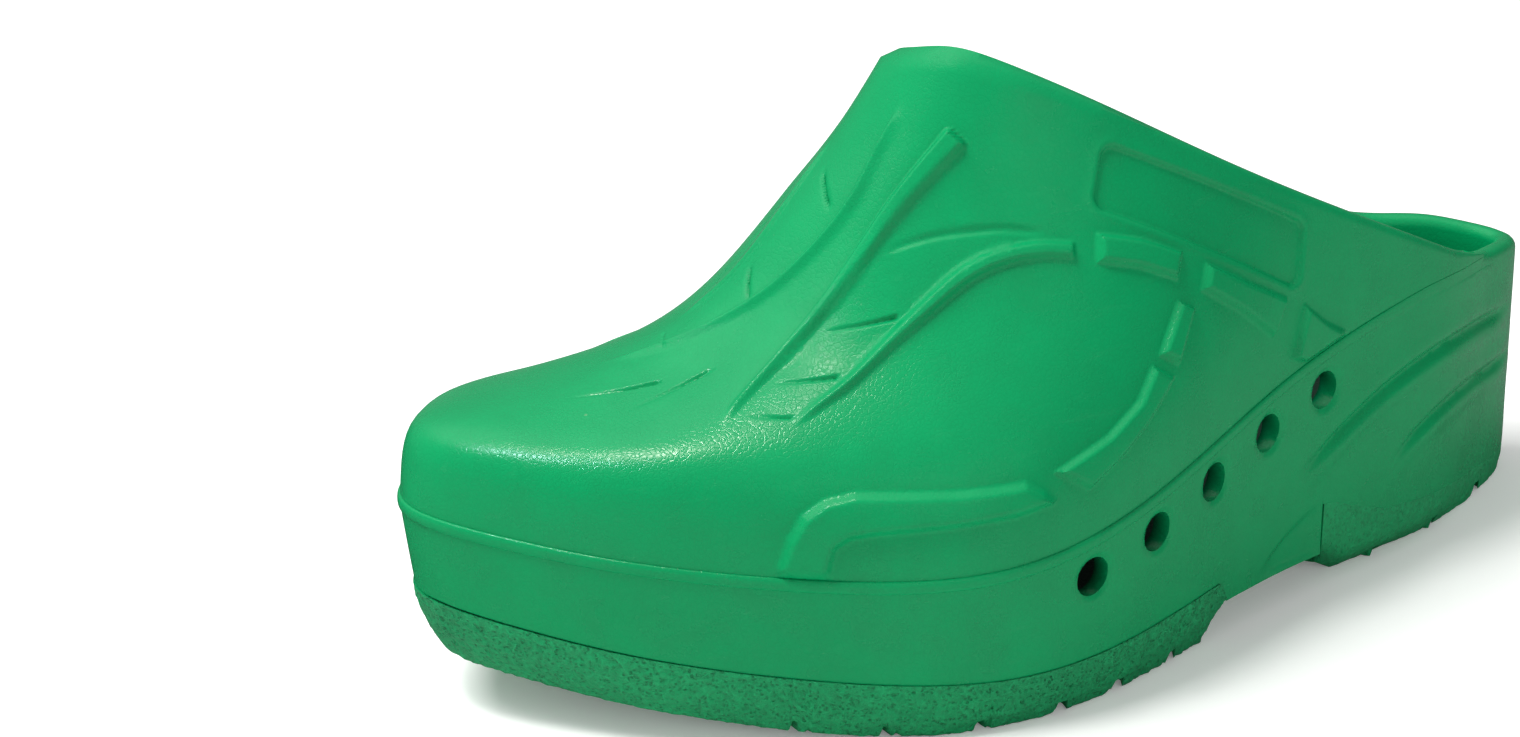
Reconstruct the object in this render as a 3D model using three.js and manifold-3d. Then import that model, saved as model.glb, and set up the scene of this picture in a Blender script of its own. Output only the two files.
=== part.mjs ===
// Rubber garden clog, left foot: two shell halves, two treaded outsoles, an insole and its cover.
// Millimetres, +Z up. The origin is on the ground, under the middle of the shoe's length.
// +X points to the toe, +Y to the outer side.
import * as THREE from 'three';
import * as BufferGeometryUtils from 'three/addons/utils/BufferGeometryUtils.js';
import Module from 'manifold-3d';

// ---- driving dimensions ---------------------------------------------------
const HALF_LENGTH = 148;
const WALL = 5.5;               // thickness of the upper and of the side wall
const GAP = 0.3;                // clearance between separate pieces
const ARCH_Z = 9.0;             // height of the arch's underside

// Bead along the parting line
const BEAD_PROUD = 1.0;         // how far it stands out
const BEAD_HEIGHT = 2.6;
const BEAD_UP = 1.0;            // its top above the parting line

// Insole
const INSOLE_THICK = 4.0;
const INSOLE_CLEAR = 0.9;       // clearance to the side wall
const COVER_THICK = 1.2;
const COVER_INSET = 0.6;        // cover's edge inside the insole's edge

// Vent holes, on the outer side only
const VENT_R = 4.5;
const VENT_DROP = 9.3;          // centre below the parting line
const VENT_X = [25.1, 5.1, -15.0, -35.0, -54.8];

// Places along X
const CORNER_X = -112;                      // where the upper ends at the heel rim
const RIM_STEP_X = CORNER_X - 1.5;          // where the lower shell's rim leaves the parting line
const FORE_END_X = -19;                     // the forefoot outsole thins out behind this
const FORE_TAIL_X = FORE_END_X - 3.2;       // rear end of its thin tail
const FORE_SLOPE_X = FORE_END_X + 4;        // where its rear end starts to slope
const ARCH_REAR_X = -52.5;
const HEEL_FRONT_X = ARCH_REAR_X - 3.5;     // front end of the heel outsole
const HEEL_SLOPE_X = HEEL_FRONT_X - 10;     // where its front edge starts to slope up

// Tread grooves
const GROOVE_WIDTH = 3.6;
const GROOVE_DEPTH = 3.0;
const GROOVE_FLANK = 0.35;      // each flank's reach either side of the nominal width
const GROOVE_SPACING = 0.7;     // least distance from a groove's edge to another section
const FORE_GROOVES_X = [88.3, 71.2, 51.5, 31.2, 13.9, -4.5];
const HEEL_GROOVES_X = [-80, -103, -126];

// Tables of [x, value]
const WALL_INSET = [[-70, 0.5], [0, 2.0]];              // side wall's inset at its lower edge
const SOLE_TOP_INSET = [[-70, 0.5], [0, 1.7]];          // outsole's inset at its upper edge
const GROUND_INSET = [                                  // outsole's inset at the ground
  [-148, 1.2], [-121, 1.5], [-108, 3.4], [-96, 5.0], [-87, 6.4],
  [-56, 7.6], [-20, 4.9], [85, 5.2], [140, 8.5],
];
const BEAD_PROUD_SHARE = [[-95, 0], [-55, 0.6], [-20, 1]];
const BEAD_UP_SHARE = [[-105, 0], [-80, 1]];
const TOE_SPRING = [                                    // tread's rise off the ground
  [60, 0], [75, 0.9], [88, 2.4], [100, 4.3], [115, 7.0], [130, 10.0], [148, 13.5],
];
const FORE_END_SLOPE = [[FORE_TAIL_X, 7.0], [FORE_SLOPE_X, 0]];     // rise of the tread
const FORE_END_DROP = [[FORE_END_X, 0.6], [FORE_SLOPE_X, 0]];       // drop of the outsole's top
const HEEL_FRONT_SLOPE = [[HEEL_SLOPE_X, 0], [HEEL_FRONT_X, 5.5]];  // rise of the tread

// Share of the ground inset left above the tread's underside
const FORE_TAPER = [[0, 1], [0.12, 0.75], [0.55, 0.25], [1, 0]];    // against share of height
const HEEL_TAPER = [[0, 1], [1.5, 0.7], [3, 0.42], [6.5, 0.04], [9, 0]];  // against height

// x, height of the parting line, of the step line (shell's underside) and of the floor
const LEVELS = [
  [-148, 59.8, 28.6, 29],
  [-100, 65.4, 22.7, 28],
  [-50, 58.3, 17.2, 25.5],
  [0, 46.2, 13.2, 20.5],
  [50, 37.6, 12.4, 18],
  [100, 40.2, 17.9, 22.3],
  [148, 47.6, 28.1, 32.5],
];

// Profiles from the parting line to the collar: plan fractions, then height fractions
const PROFILES = {
  toe: [
    [0, .018, .076, .191, .332, .464, .579, .686, .794, .897, 1],
    [0, .149, .211, .227, .250, .290, .366, .488, .645, .795, 1],
  ],
  outer: [
    [0, .02, .08, .18, .30, .42, .54, .66, .78, .89, 1],
    [0, .138, .235, .300, .360, .422, .500, .603, .722, .855, 1],
  ],
  side: [
    [0, .03, .10, .2, .32, .44, .56, .68, .79, .9, 1],
    [0, .114, .233, .344, .448, .544, .64, .736, .825, .914, 1],
  ],
  rear: [
    [0, .05, .12, .22, .33, .45, .57, .69, .80, .9, 1],
    [0, .1, .2, .3, .4, .5, .6, .7, .8, .9, 1],
  ],
  inner: [
    [0, .02, .08, .18, .30, .42, .54, .66, .78, .89, 1],
    [0, .122, .172, .203, .243, .295, .380, .508, .668, .822, 1],
  ],
};
const LEVEL_COUNT = PROFILES.toe[0].length;

// From the toe tip round the outer side to the heel and back:
// plan outline at the parting line [x, y], collar's outer edge [x, y, z], mix of profiles.
// Without a collar the skin ends at the parting line.
const STATIONS = [
  [[148.4, -8.0], [31.5, 5, 135.6], { toe: 1 }],
  [[135.7, 15.0], [30.5, 14, 137.4], { toe: .8, outer: .2 }],
  [[116.8, 33.8], [26.5, 22, 137.2], { toe: .4, outer: .6 }],
  [[86.6, 53.1], [16.5, 30.5, 132.8], { outer: 1 }],
  [[45.1, 69.9], [-1, 37.5, 123.8], { outer: .5, side: .5 }],
  [[-1.3, 63.4], [-26, 42.5, 110], { side: 1 }],
  [[-45.4, 48.6], [-57, 43.5, 93.6], { side: .5, rear: .5 }],
  [[-94.4, 36.9], [-97, 35.5, 74.5], { rear: 1 }],
  [[-125.6, 21.3], null, { rear: 1 }],
  [[-148.0, 2.0], null, { rear: 1 }],
  [[-129.3, -24.0], null, { rear: 1 }],
  [[-94.9, -35.4], [-97, -33.5, 71.5], { rear: 1 }],
  [[-45.0, -38.0], [-58, -34, 88.8], { side: .5, rear: .5 }],
  [[0.0, -42.1], [-28, -30, 104.5], { side: 1 }],
  [[45.0, -49.9], [-2, -24, 118], { side: .5, inner: .5 }],
  [[85.0, -52.7], [15.5, -17, 126], { inner: 1 }],
  [[120.8, -45.6], [25.5, -10, 130.8], { toe: .4, inner: .6 }],
  [[139.5, -28.9], [30.5, -3, 133.6], { toe: .8, inner: .2 }],
];
const HEEL_STATION = 9;

// x of the mesh's cross sections, toe to heel
const SECTIONS_X = [
  147.0, 144.5, 141, 136.5, 131, 124.5, 117, 109, 101, 92.5, 84, 75, 66, 57, 48, 39, 30, 21,
  12, 4, -4, -10, FORE_END_X + 5, FORE_END_X, FORE_TAIL_X, -31, -40, -47,
  ARCH_REAR_X, HEEL_FRONT_X, HEEL_SLOPE_X, -74, -82, -90, -98, -105,
  CORNER_X, RIM_STEP_X + 0.3, RIM_STEP_X - 0.3, -118, -124.5, -130.5, -136, -140.5, -144, -146.6,
];

// ---- interpolation ----------------------------------------------------------
// Gaussian elimination with pivoting; each row of `right` is a vector
function solve(matrix, right) {
  const size = right.length, width = right[0].length;
  for (let i = 0; i < size; i++) {
    let pivot = i;
    for (let r = i + 1; r < size; r++) {
      if (Math.abs(matrix[r][i]) > Math.abs(matrix[pivot][i])) pivot = r;
    }
    [matrix[i], matrix[pivot]] = [matrix[pivot], matrix[i]];
    [right[i], right[pivot]] = [right[pivot], right[i]];
    for (let r = i + 1; r < size; r++) {
      const factor = matrix[r][i] / matrix[i][i];
      for (let c = i; c < size; c++) matrix[r][c] -= factor * matrix[i][c];
      for (let c = 0; c < width; c++) right[r][c] -= factor * right[i][c];
    }
  }
  for (let i = size - 1; i >= 0; i--) {
    for (let c = 0; c < width; c++) {
      for (let k = i + 1; k < size; k++) right[i][c] -= matrix[i][k] * right[k][c];
      right[i][c] /= matrix[i][i];
    }
  }
  return right;
}

// Cubic spline of vectors; natural ends, or periodic when there is one value less than knots
function spline(knots, values) {
  const count = values.length;
  const periodic = count === knots.length - 1;
  const steps = knots.slice(1).map((knot, i) => knot - knots[i]);
  const matrix = values.map(() => new Array(count).fill(0));
  const right = values.map((value) => value.map(() => 0));
  for (let i = 0; i < count; i++) {
    if (!periodic && (i === 0 || i === count - 1)) {
      matrix[i][i] = 1;
      continue;
    }
    const prev = (i - 1 + count) % count, next = (i + 1) % count;
    const before = steps[prev], after = steps[i];
    matrix[i][prev] += before;
    matrix[i][i] += 2 * (before + after);
    matrix[i][next] += after;
    right[i] = values[i].map((y, c) =>
      6 * ((values[next][c] - y) / after - (y - values[prev][c]) / before));
  }
  const bends = solve(matrix, right);     // second derivatives at the knots
  const period = knots.at(-1);
  return (at) => {
    const x = periodic ? ((at % period) + period) % period : at;
    let i = 0;
    while (i < knots.length - 2 && x > knots[i + 1]) i++;
    const next = (i + 1) % count, step = steps[i];
    const a = (knots[i + 1] - x) / step, b = (x - knots[i]) / step;
    return values[i].map((y, c) => a * y + b * values[next][c]
      + ((a ** 3 - a) * bends[i][c] + (b ** 3 - b) * bends[next][c]) * step * step / 6);
  };
}

// Linear interpolation in a table of [x, value], held constant beyond its ends
function lookup(x, table) {
  if (x <= table[0][0]) return table[0][1];
  const i = table.findIndex((entry) => x <= entry[0]);
  if (i < 0) return table.at(-1)[1];
  const [x0, y0] = table[i - 1], [x1, y1] = table[i];
  const t = (x - x0) / (x1 - x0);
  return y0 * (1 - t) + y1 * t;
}

// ---- heights against x --------------------------------------------------------
const levels = spline(LEVELS.map((row) => row[0]), LEVELS.map((row) => row.slice(1)));
const levelAt = (x, column) =>
  levels(THREE.MathUtils.clamp(x, -HALF_LENGTH - 1, HALF_LENGTH + 1))[column];
const partingZ = (x) => levelAt(x, 0);
const stepZ = (x) => levelAt(x, 1);
const floorZ = (x) => levelAt(x, 2);
const beadTopZ = (x) => partingZ(x) + BEAD_UP * lookup(x, BEAD_UP_SHARE);

// Underside of the lower shell behind the forefoot: heel, arch, step down to the forefoot
const REAR_UNDERSIDE_Z = [
  [-150, 6], [-131, 7], [-101, 10.8], [-88, 12.5], [-78, 14], [-70, 16.9], [-60, 20.9],
  [HEEL_FRONT_X, 21.6], [ARCH_REAR_X, ARCH_Z], [FORE_TAIL_X, ARCH_Z],
  [FORE_END_X, stepZ(FORE_END_X)],
];
const undersideZ = (x) => (x > FORE_END_X ? stepZ(x) : lookup(x, REAR_UNDERSIDE_Z));

// ---- the shoe's skin ------------------------------------------------------------
// u runs 0 to 1 round the outline from the toe tip, v from the parting line to the collar
function stationKnots() {
  const knots = [0];
  STATIONS.forEach(([[x, y]], i) => {
    const [nextX, nextY] = STATIONS[(i + 1) % STATIONS.length][0];
    knots.push(knots[i] + Math.sqrt(Math.hypot(nextX - x, nextY - y)));
  });
  return knots.map((knot) => knot / knots.at(-1));
}

function stationPoints([[x, y], collar, mix]) {
  const z = partingZ(x);
  const [collarX, collarY, collarZ] = collar ?? [x, y, z];
  const points = [];
  for (let j = 0; j < LEVEL_COUNT; j++) {
    let plan = 0, height = 0;
    for (const [name, weight] of Object.entries(mix)) {
      plan += weight * PROFILES[name][0][j];
      height += weight * PROFILES[name][1][j];
    }
    points.push(x + plan * (collarX - x), y + plan * (collarY - y), z + height * (collarZ - z));
  }
  return points;
}

const U_KNOTS = stationKnots();
const U_HEEL = U_KNOTS[HEEL_STATION];
const V_KNOTS = Array.from({ length: LEVEL_COUNT }, (_, j) => j / (LEVEL_COUNT - 1));
const net = spline(U_KNOTS, STATIONS.map(stationPoints));

function netPoints(u) {
  const flat = net(u);
  return V_KNOTS.map((_, j) => flat.slice(3 * j, 3 * j + 3));
}
const edge = (u) => net(u).slice(0, 2);

// Skin at one u, as a function of v
function skinColumn(u) {
  const points = netPoints(u);
  points[0][2] = partingZ(points[0][0]);
  return spline(V_KNOTS, points);
}

function planNormal(u) {
  const [x0, y0] = edge(u - 1e-4), [x1, y1] = edge(u + 1e-4);
  const length = Math.hypot(x1 - x0, y1 - y0);
  return [(y1 - y0) / length, -(x1 - x0) / length];
}

function skinNormal(u, v) {
  const point = (pu, pv) => new THREE.Vector3(...skinColumn(pu)(pv));
  const alongU = point(u + 1e-3, v).sub(point(u - 1e-3, v));
  const alongV = point(u, Math.min(1, v + 0.01)).sub(point(u, Math.max(0, v - 0.01)));
  return alongU.cross(alongV).normalize().toArray();
}

// Plan point moved in from the outline
function inset(u, distance) {
  const [x, y] = edge(u), [nx, ny] = planNormal(u);
  return [x - distance * nx, y - distance * ny];
}

// u of the outline at x, on the outer or the inner side, by bisection
function uAt(x, outer) {
  const margin = 0.004;
  let low = outer ? margin : U_HEEL + margin;
  let high = outer ? U_HEEL - margin : 1 - margin;
  for (let k = 0; k < 50; k++) {
    const middle = (low + high) / 2, edgeX = edge(middle)[0];
    if (outer ? edgeX > x : edgeX < x) low = middle;
    else high = middle;
  }
  return (low + high) / 2;
}

// Paths of u from the outer to the inner side, for sections listed toe to heel
const outerSide = (sectionsX) => sectionsX.map((x) => uAt(x, true));
const innerSide = (sectionsX) => sectionsX.map((x) => uAt(x, false));
const roundToe = (sectionsX) => [...outerSide(sectionsX).reverse(), 0, ...innerSide(sectionsX)];
const roundHeel = (sectionsX) =>
  [...outerSide(sectionsX), U_HEEL, ...innerSide(sectionsX).reverse()];
const RING = [0, ...roundHeel(SECTIONS_X)];

// Closed loop of points; z may follow x at the outline (edgeX) or at the inset point (x)
function insetLoop(distanceAt, zAt) {
  return RING.map((u) => {
    const edgeX = edge(u)[0];
    const [x, y] = inset(u, distanceAt(edgeX));
    return [x, y, zAt({ u, edgeX, x })];
  });
}

// ---- mesh helpers -----------------------------------------------------------------
// The heel rim sits lower on the inner side. Each range is where a smooth step rises.
const RIM_DROP = 2.4;
const RIM_DROP_STARTS = [62, 102];    // distance behind the origin
const RIM_DROP_ENDS = [120, 140];     // distance behind the origin
const RIM_DROP_INWARD = [4, 20];      // distance to the inner side
const RIM_DROP_HEIGHT = [40, 60];
function lowerRim([x, y, z]) {
  const { smoothstep } = THREE.MathUtils;
  const share = smoothstep(-x, ...RIM_DROP_STARTS) * (1 - smoothstep(-x, ...RIM_DROP_ENDS))
    * smoothstep(-y, ...RIM_DROP_INWARD) * smoothstep(z, ...RIM_DROP_HEIGHT);
  return [x, y, z - RIM_DROP * share];
}

// Geometry with its triangles turned outwards, judged by the sign of the volume
function meshFrom(points, triangles) {
  const vertices = points.map(lowerRim);
  let volume = 0;
  for (const corners of triangles) {
    const [a, b, c] = corners.map((i) => new THREE.Vector3(...vertices[i]));
    volume += a.dot(b.cross(c));
  }
  const outward = volume < 0 ? triangles.map(([a, b, c]) => [a, c, b]) : triangles;
  const geometry = new THREE.BufferGeometry();
  geometry.setAttribute('position', new THREE.Float32BufferAttribute(vertices.flat(), 3));
  geometry.setIndex(outward.flat());
  return geometry;
}

// Solid through rows of equal length, closed by rungs across the first and the last row.
// A row with an even count is a full ring; one with an odd count has a straight cut end.
function loft(rows) {
  const count = rows[0].length, cutEnd = count % 2 === 1;
  const triangles = [];
  for (let r = 0; r + 1 < rows.length; r++) {
    for (let i = 0; i < count; i++) {
      const a = r * count + i, b = r * count + (i + 1) % count;
      const c = a + count, d = b + count;
      if (cutEnd && i === count - 1) triangles.push([a, b, c], [b, d, c]);
      else triangles.push([a, b, d], [a, d, c]);
    }
  }
  const mirror = cutEnd ? count - 1 : count, half = mirror / 2;
  const rungs = [];
  for (let i = 0; i < half - 1; i++) {
    rungs.push([i, i + 1, mirror - i - 1]);
    if (mirror - i < count) rungs.push([i, mirror - i - 1, mirror - i]);
  }
  rungs.push([half - 1, half, half + 1]);
  const last = (rows.length - 1) * count;
  for (const [a, b, c] of rungs) triangles.push([a, c, b], [last + a, last + b, last + c]);
  return meshFrom(rows.flat(), triangles);
}

const wasm = await Module();
wasm.setup();

function toSolid(geometry) {
  const bare = geometry.clone().deleteAttribute('normal').deleteAttribute('uv');
  const merged = BufferGeometryUtils.mergeVertices(bare, 1e-5);
  return new wasm.Manifold(new wasm.Mesh({
    numProp: 3,
    vertProperties: new Float32Array(merged.attributes.position.array),
    triVerts: new Uint32Array(merged.index.array),
  }));
}

function cut(body, tools) {
  const solid = tools.reduce((rest, tool) => rest.subtract(toSolid(tool)), toSolid(body));
  const mesh = solid.getMesh();
  const geometry = new THREE.BufferGeometry();
  geometry.setAttribute('position', new THREE.Float32BufferAttribute(mesh.vertProperties, 3));
  geometry.setIndex(new THREE.Uint32BufferAttribute(mesh.triVerts, 1));
  return geometry;
}

// ---- upper shell --------------------------------------------------------------------
const UPPER_LEVELS = [0, .06, .13, .21, .3, .4, .5, .6, .7, .8, .9, 1];   // values of v
const UPPER_BLEND = 9;          // height over which the inner face takes up the skin's slope
const UPPER_LEAST_RISE = 0.35;  // inner face's least height, as a share of the full height

// Cross section at u: up the outside, then down the inside
function upperSection(u) {
  const column = skinColumn(u);
  const base = beadTopZ(edge(u)[0]), seamZ = base + GAP / 2, rise = column(1)[2] - base;
  const outside = UPPER_LEVELS.map((v) => {
    const [x, y, z] = column(v);
    return [x, y, v === 0 ? seamZ : z];
  });
  const inside = UPPER_LEVELS.map((v) => {
    if (v === 0) return [...inset(u, WALL), seamZ];
    const [x, y, z] = column(v), [nx, ny, nz] = skinNormal(u, v);
    const slope = Math.min(1, (z - base) / UPPER_BLEND);
    const leastZ = seamZ + UPPER_LEAST_RISE * v * rise;
    return [x - WALL * nx, y - WALL * ny, Math.max(z - slope * WALL * nz, leastZ)];
  });
  return [...outside, ...inside.reverse()];
}

function upperShell() {
  const sections = roundToe(SECTIONS_X.filter((x) => x >= CORNER_X)).map(upperSection);
  const count = sections[0].length, last = (sections.length - 1) * count;
  const triangles = [];
  for (let i = 0; i + 1 < sections.length; i++) {
    for (let j = 0; j < count; j++) {
      const a = i * count + j, b = i * count + (j + 1) % count;
      const c = a + count, d = b + count;
      triangles.push([a, b, d], [a, d, c]);
    }
  }
  // The two end faces, at the heel rim
  for (let j = 0; j + 1 < UPPER_LEVELS.length; j++) {
    const k = count - 1 - j;
    triangles.push([j, k, j + 1], [j + 1, k, k - 1]);
    triangles.push([last + j, last + j + 1, last + k], [last + j + 1, last + k - 1, last + k]);
  }
  return meshFrom(sections.flat(), triangles);
}

// ---- lower shell --------------------------------------------------------------------
const BEAD_TOP_CHAMFER = 0.8;
const BEAD_TOP_SHARE = 0.6;             // share of the bead's reach left at the rim
const BEAD_FOOT = [0.4, -0.3];          // upper and lower end of its lower flank
const MID_WALL_SHARE = 0.45;            // share of the wall's inset at half height
const VENT_TOOL_LENGTH = 26;
const VENT_TOOL_INSET = 3;              // cutter's centre inside the outline
const VENT_SEGMENTS = 24;

const meetsUpper = (x) => x > RIM_STEP_X;
const beadReach = (x) => BEAD_PROUD * lookup(x, BEAD_PROUD_SHARE);

function rimZ({ u, edgeX }) {
  if (meetsUpper(edgeX)) return beadTopZ(edgeX) - GAP / 2;
  const points = netPoints(u);
  return Math.max(points.at(-1)[2], points[0][2]);
}

function outerRim() {
  return RING.map((u) => {
    const edgeX = edge(u)[0];
    const [x, y] = meetsUpper(edgeX)
      ? inset(u, -BEAD_TOP_SHARE * beadReach(edgeX))
      : netPoints(u).at(-1);
    return [x, y, rimZ({ u, edgeX })];
  });
}

function ventCutter(ventX) {
  const u = uAt(ventX, true);
  const direction = new THREE.Vector3(...planNormal(u), 0);
  const turn = new THREE.Quaternion().setFromUnitVectors(new THREE.Vector3(0, 1, 0), direction);
  return new THREE.CylinderGeometry(VENT_R, VENT_R, VENT_TOOL_LENGTH, VENT_SEGMENTS)
    .applyQuaternion(turn)
    .translate(...inset(u, VENT_TOOL_INSET), partingZ(edge(u)[0]) - VENT_DROP);
}

function lowerShell() {
  const wallInset = (x) => lookup(x, WALL_INSET);
  const beadLoop = (distanceAt, drop) =>
    insetLoop(distanceAt, ({ edgeX }) => beadTopZ(edgeX) - drop);
  const [footTop, footBottom] = BEAD_FOOT;
  // From the underside up the outside to the rim, then down the inside to the floor
  const body = loft([
    insetLoop(wallInset, ({ x }) => undersideZ(x)),
    insetLoop((x) => wallInset(x) * MID_WALL_SHARE,
      ({ edgeX }) => (partingZ(edgeX) + undersideZ(edgeX)) / 2),
    beadLoop(() => 0, BEAD_HEIGHT - footBottom),
    beadLoop((x) => -beadReach(x), BEAD_HEIGHT - footTop),
    beadLoop((x) => -beadReach(x), BEAD_TOP_CHAMFER),
    outerRim(),
    insetLoop(() => WALL, rimZ),
    insetLoop(() => WALL, ({ x }) => floorZ(x)),
  ]);
  return cut(body, VENT_X.map(ventCutter));
}

// ---- outsoles -----------------------------------------------------------------------
const TREAD_ROWS = [1, 0.55, 0.14, 0];    // shares of the height, top to bottom

// path: roundToe or roundHeel; taperAt(height above the underside, full height)
function tread({ path, sectionsX, topZ, bottomZ, grooves, taperAt }) {
  const land = GROOVE_WIDTH / 2 + GROOVE_FLANK, floor = GROOVE_WIDTH / 2 - GROOVE_FLANK;
  const nearGroove = (x, reach) => grooves.some((groove) => Math.abs(x - groove) < reach);
  const allX = sectionsX.filter((x) => !nearGroove(x, land + GROOVE_SPACING))
    .concat(grooves.flatMap((x) => [x + land, x + floor, x - floor, x - land]))
    .sort((a, b) => b - a);
  const us = path(allX);
  const heightAt = (x) => topZ(x) - GAP - bottomZ(x);
  const row = (share) => us.map((u) => {
    const edgeX = edge(u)[0], height = heightAt(edgeX);
    const depth = nearGroove(edgeX, GROOVE_WIDTH / 2) ? GROOVE_DEPTH : 0;
    const taper = taperAt(depth + (height - depth) * share, height);
    const topInset = lookup(edgeX, SOLE_TOP_INSET);
    const groundInset = lookup(edgeX, GROUND_INSET);
    const [x, y] = inset(u, topInset + (groundInset - topInset) * taper);
    return [x, y, bottomZ(x) + depth + (heightAt(x) - depth) * share];
  });
  return loft(TREAD_ROWS.map(row));
}

const forefootOutsole = () => tread({
  path: roundToe,
  sectionsX: SECTIONS_X.filter((x) => x >= FORE_TAIL_X),
  topZ: (x) => undersideZ(x) - lookup(x, FORE_END_DROP),
  bottomZ: (x) => Math.max(lookup(x, TOE_SPRING), lookup(x, FORE_END_SLOPE)),
  grooves: FORE_GROOVES_X,
  taperAt: (height, fullHeight) => lookup(height / fullHeight, FORE_TAPER),
});

const heelOutsole = () => tread({
  path: roundHeel,
  sectionsX: SECTIONS_X.filter((x) => x <= HEEL_FRONT_X),
  topZ: undersideZ,
  bottomZ: (x) => lookup(x, HEEL_FRONT_SLOPE),
  grooves: HEEL_GROOVES_X,
  taperAt: (height) => lookup(height, HEEL_TAPER),
});

// ---- insole and cover ---------------------------------------------------------------
// Sheet that follows the floor, from `lift` above it
function sheet(distance, lift, thickness) {
  const loopAt = (height) => insetLoop(() => distance, ({ x }) => floorZ(x) + height);
  return loft([loopAt(lift), loopAt(lift + thickness)]);
}
const insole = () => sheet(WALL + INSOLE_CLEAR, GAP, INSOLE_THICK);
const insoleCover = () =>
  sheet(WALL + INSOLE_CLEAR + COVER_INSET, 2 * GAP + INSOLE_THICK, COVER_THICK);

// ---- assembly -----------------------------------------------------------------------
const FINISHES = {
  shell: { color: 0x14a05f, roughness: 0.45 },
  outsole: { color: 0x0f8a50, roughness: 0.85 },
  insole: { color: 0x1c2a24, roughness: 0.8 },
  cover: { color: 0x22332c, roughness: 0.9 },
};

const clog = new THREE.Group();
function add(name, geometry, finish) {
  const material = new THREE.MeshStandardMaterial({ ...finish, metalness: 0 });
  const mesh = new THREE.Mesh(geometry, material);
  mesh.name = name;
  clog.add(mesh);
}

add('upper_shell', upperShell(), FINISHES.shell);
add('lower_shell', lowerShell(), FINISHES.shell);
add('forefoot_outsole', forefootOutsole(), FINISHES.outsole);
add('heel_outsole', heelOutsole(), FINISHES.outsole);
add('insole', insole(), FINISHES.insole);
add('insole_cover', insoleCover(), FINISHES.cover);

export default clog;
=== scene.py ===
"""A moulded clog: upper and lower shell, two outsoles, insole and insole cover.

The shoe stands on z = 0 with its toe towards +x, its outer side towards +y and its inner
side towards -y. Shapes are worked out in millimetres and made in metres.

A place on the skin is given by `around`, which runs from 0 at the toe over the outer side and
the heel to 1 at the toe again, and `level`, 0 at the parting line and 1 at the collar.
"""
import math

import bpy
import numpy as np
from mathutils import Matrix, Vector


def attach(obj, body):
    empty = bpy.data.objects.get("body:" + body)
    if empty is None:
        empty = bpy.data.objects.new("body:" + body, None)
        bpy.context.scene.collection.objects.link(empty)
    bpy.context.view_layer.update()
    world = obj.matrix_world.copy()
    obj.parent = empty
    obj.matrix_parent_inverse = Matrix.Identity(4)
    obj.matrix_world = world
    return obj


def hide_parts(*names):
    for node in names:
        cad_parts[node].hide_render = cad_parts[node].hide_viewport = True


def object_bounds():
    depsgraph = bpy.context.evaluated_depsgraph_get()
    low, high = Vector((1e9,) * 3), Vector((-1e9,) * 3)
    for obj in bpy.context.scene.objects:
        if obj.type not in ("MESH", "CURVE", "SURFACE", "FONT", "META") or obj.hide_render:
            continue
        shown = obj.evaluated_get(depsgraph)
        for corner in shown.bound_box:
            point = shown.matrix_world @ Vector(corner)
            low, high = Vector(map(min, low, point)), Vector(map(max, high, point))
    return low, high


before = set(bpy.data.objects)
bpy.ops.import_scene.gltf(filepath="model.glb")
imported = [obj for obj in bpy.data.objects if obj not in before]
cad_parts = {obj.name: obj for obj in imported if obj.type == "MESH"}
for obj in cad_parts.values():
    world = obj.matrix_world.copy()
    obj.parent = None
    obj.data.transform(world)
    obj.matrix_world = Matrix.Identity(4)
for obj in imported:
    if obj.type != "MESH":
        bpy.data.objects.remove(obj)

CAD_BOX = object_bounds()

# ---- measures of the shoe ------------------------------------------------------------
# x, y of the parting line, counterclockwise from the toe seen from above
OUTLINE = np.array([
    [148.4, -8], [135.7, 15], [116.8, 33.8], [86.6, 53.1], [45.1, 69.9], [-1.3, 63.4],
    [-45.4, 48.6], [-94.4, 36.9], [-125.6, 21.3], [-148, 2], [-129.3, -24], [-94.9, -35.4],
    [-45, -38], [0, -42.1], [45, -49.9], [85, -52.7], [120.8, -45.6], [139.5, -28.9]], float)
# x, y of the collar at the same stations, and its height; 0 where it meets the parting line
COLLAR = np.array([
    [31.5, 5], [30.5, 14], [26.5, 22], [16.5, 30.5], [-1, 37.5], [-26, 42.5],
    [-57, 43.5], [-97, 35.5], [-125.6, 21.3], [-148, 2], [-129.3, -24], [-97, -33.5],
    [-58, -34], [-28, -30], [-2, -24], [15.5, -17], [25.5, -10], [30.5, -3]], float)
COLLAR_Z = np.array([135.6, 137.4, 137.2, 132.8, 123.8, 110, 93.6, 74.5, 0, 0, 0, 71.5,
                     88.8, 104.5, 118, 126, 130.8, 133.6])
# heights at places along x
HEIGHT_X = np.array([-148, -100, -50, 0, 50, 100, 148], float)
PARTING_Z = np.array([59.8, 65.4, 58.3, 46.2, 37.6, 40.2, 47.6])
STEP_Z = np.array([28.6, 22.7, 17.2, 13.2, 12.4, 17.9, 28.1])
FLOOR_Z = np.array([29, 28, 25.5, 20.5, 18, 22.3, 32.5])
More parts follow.
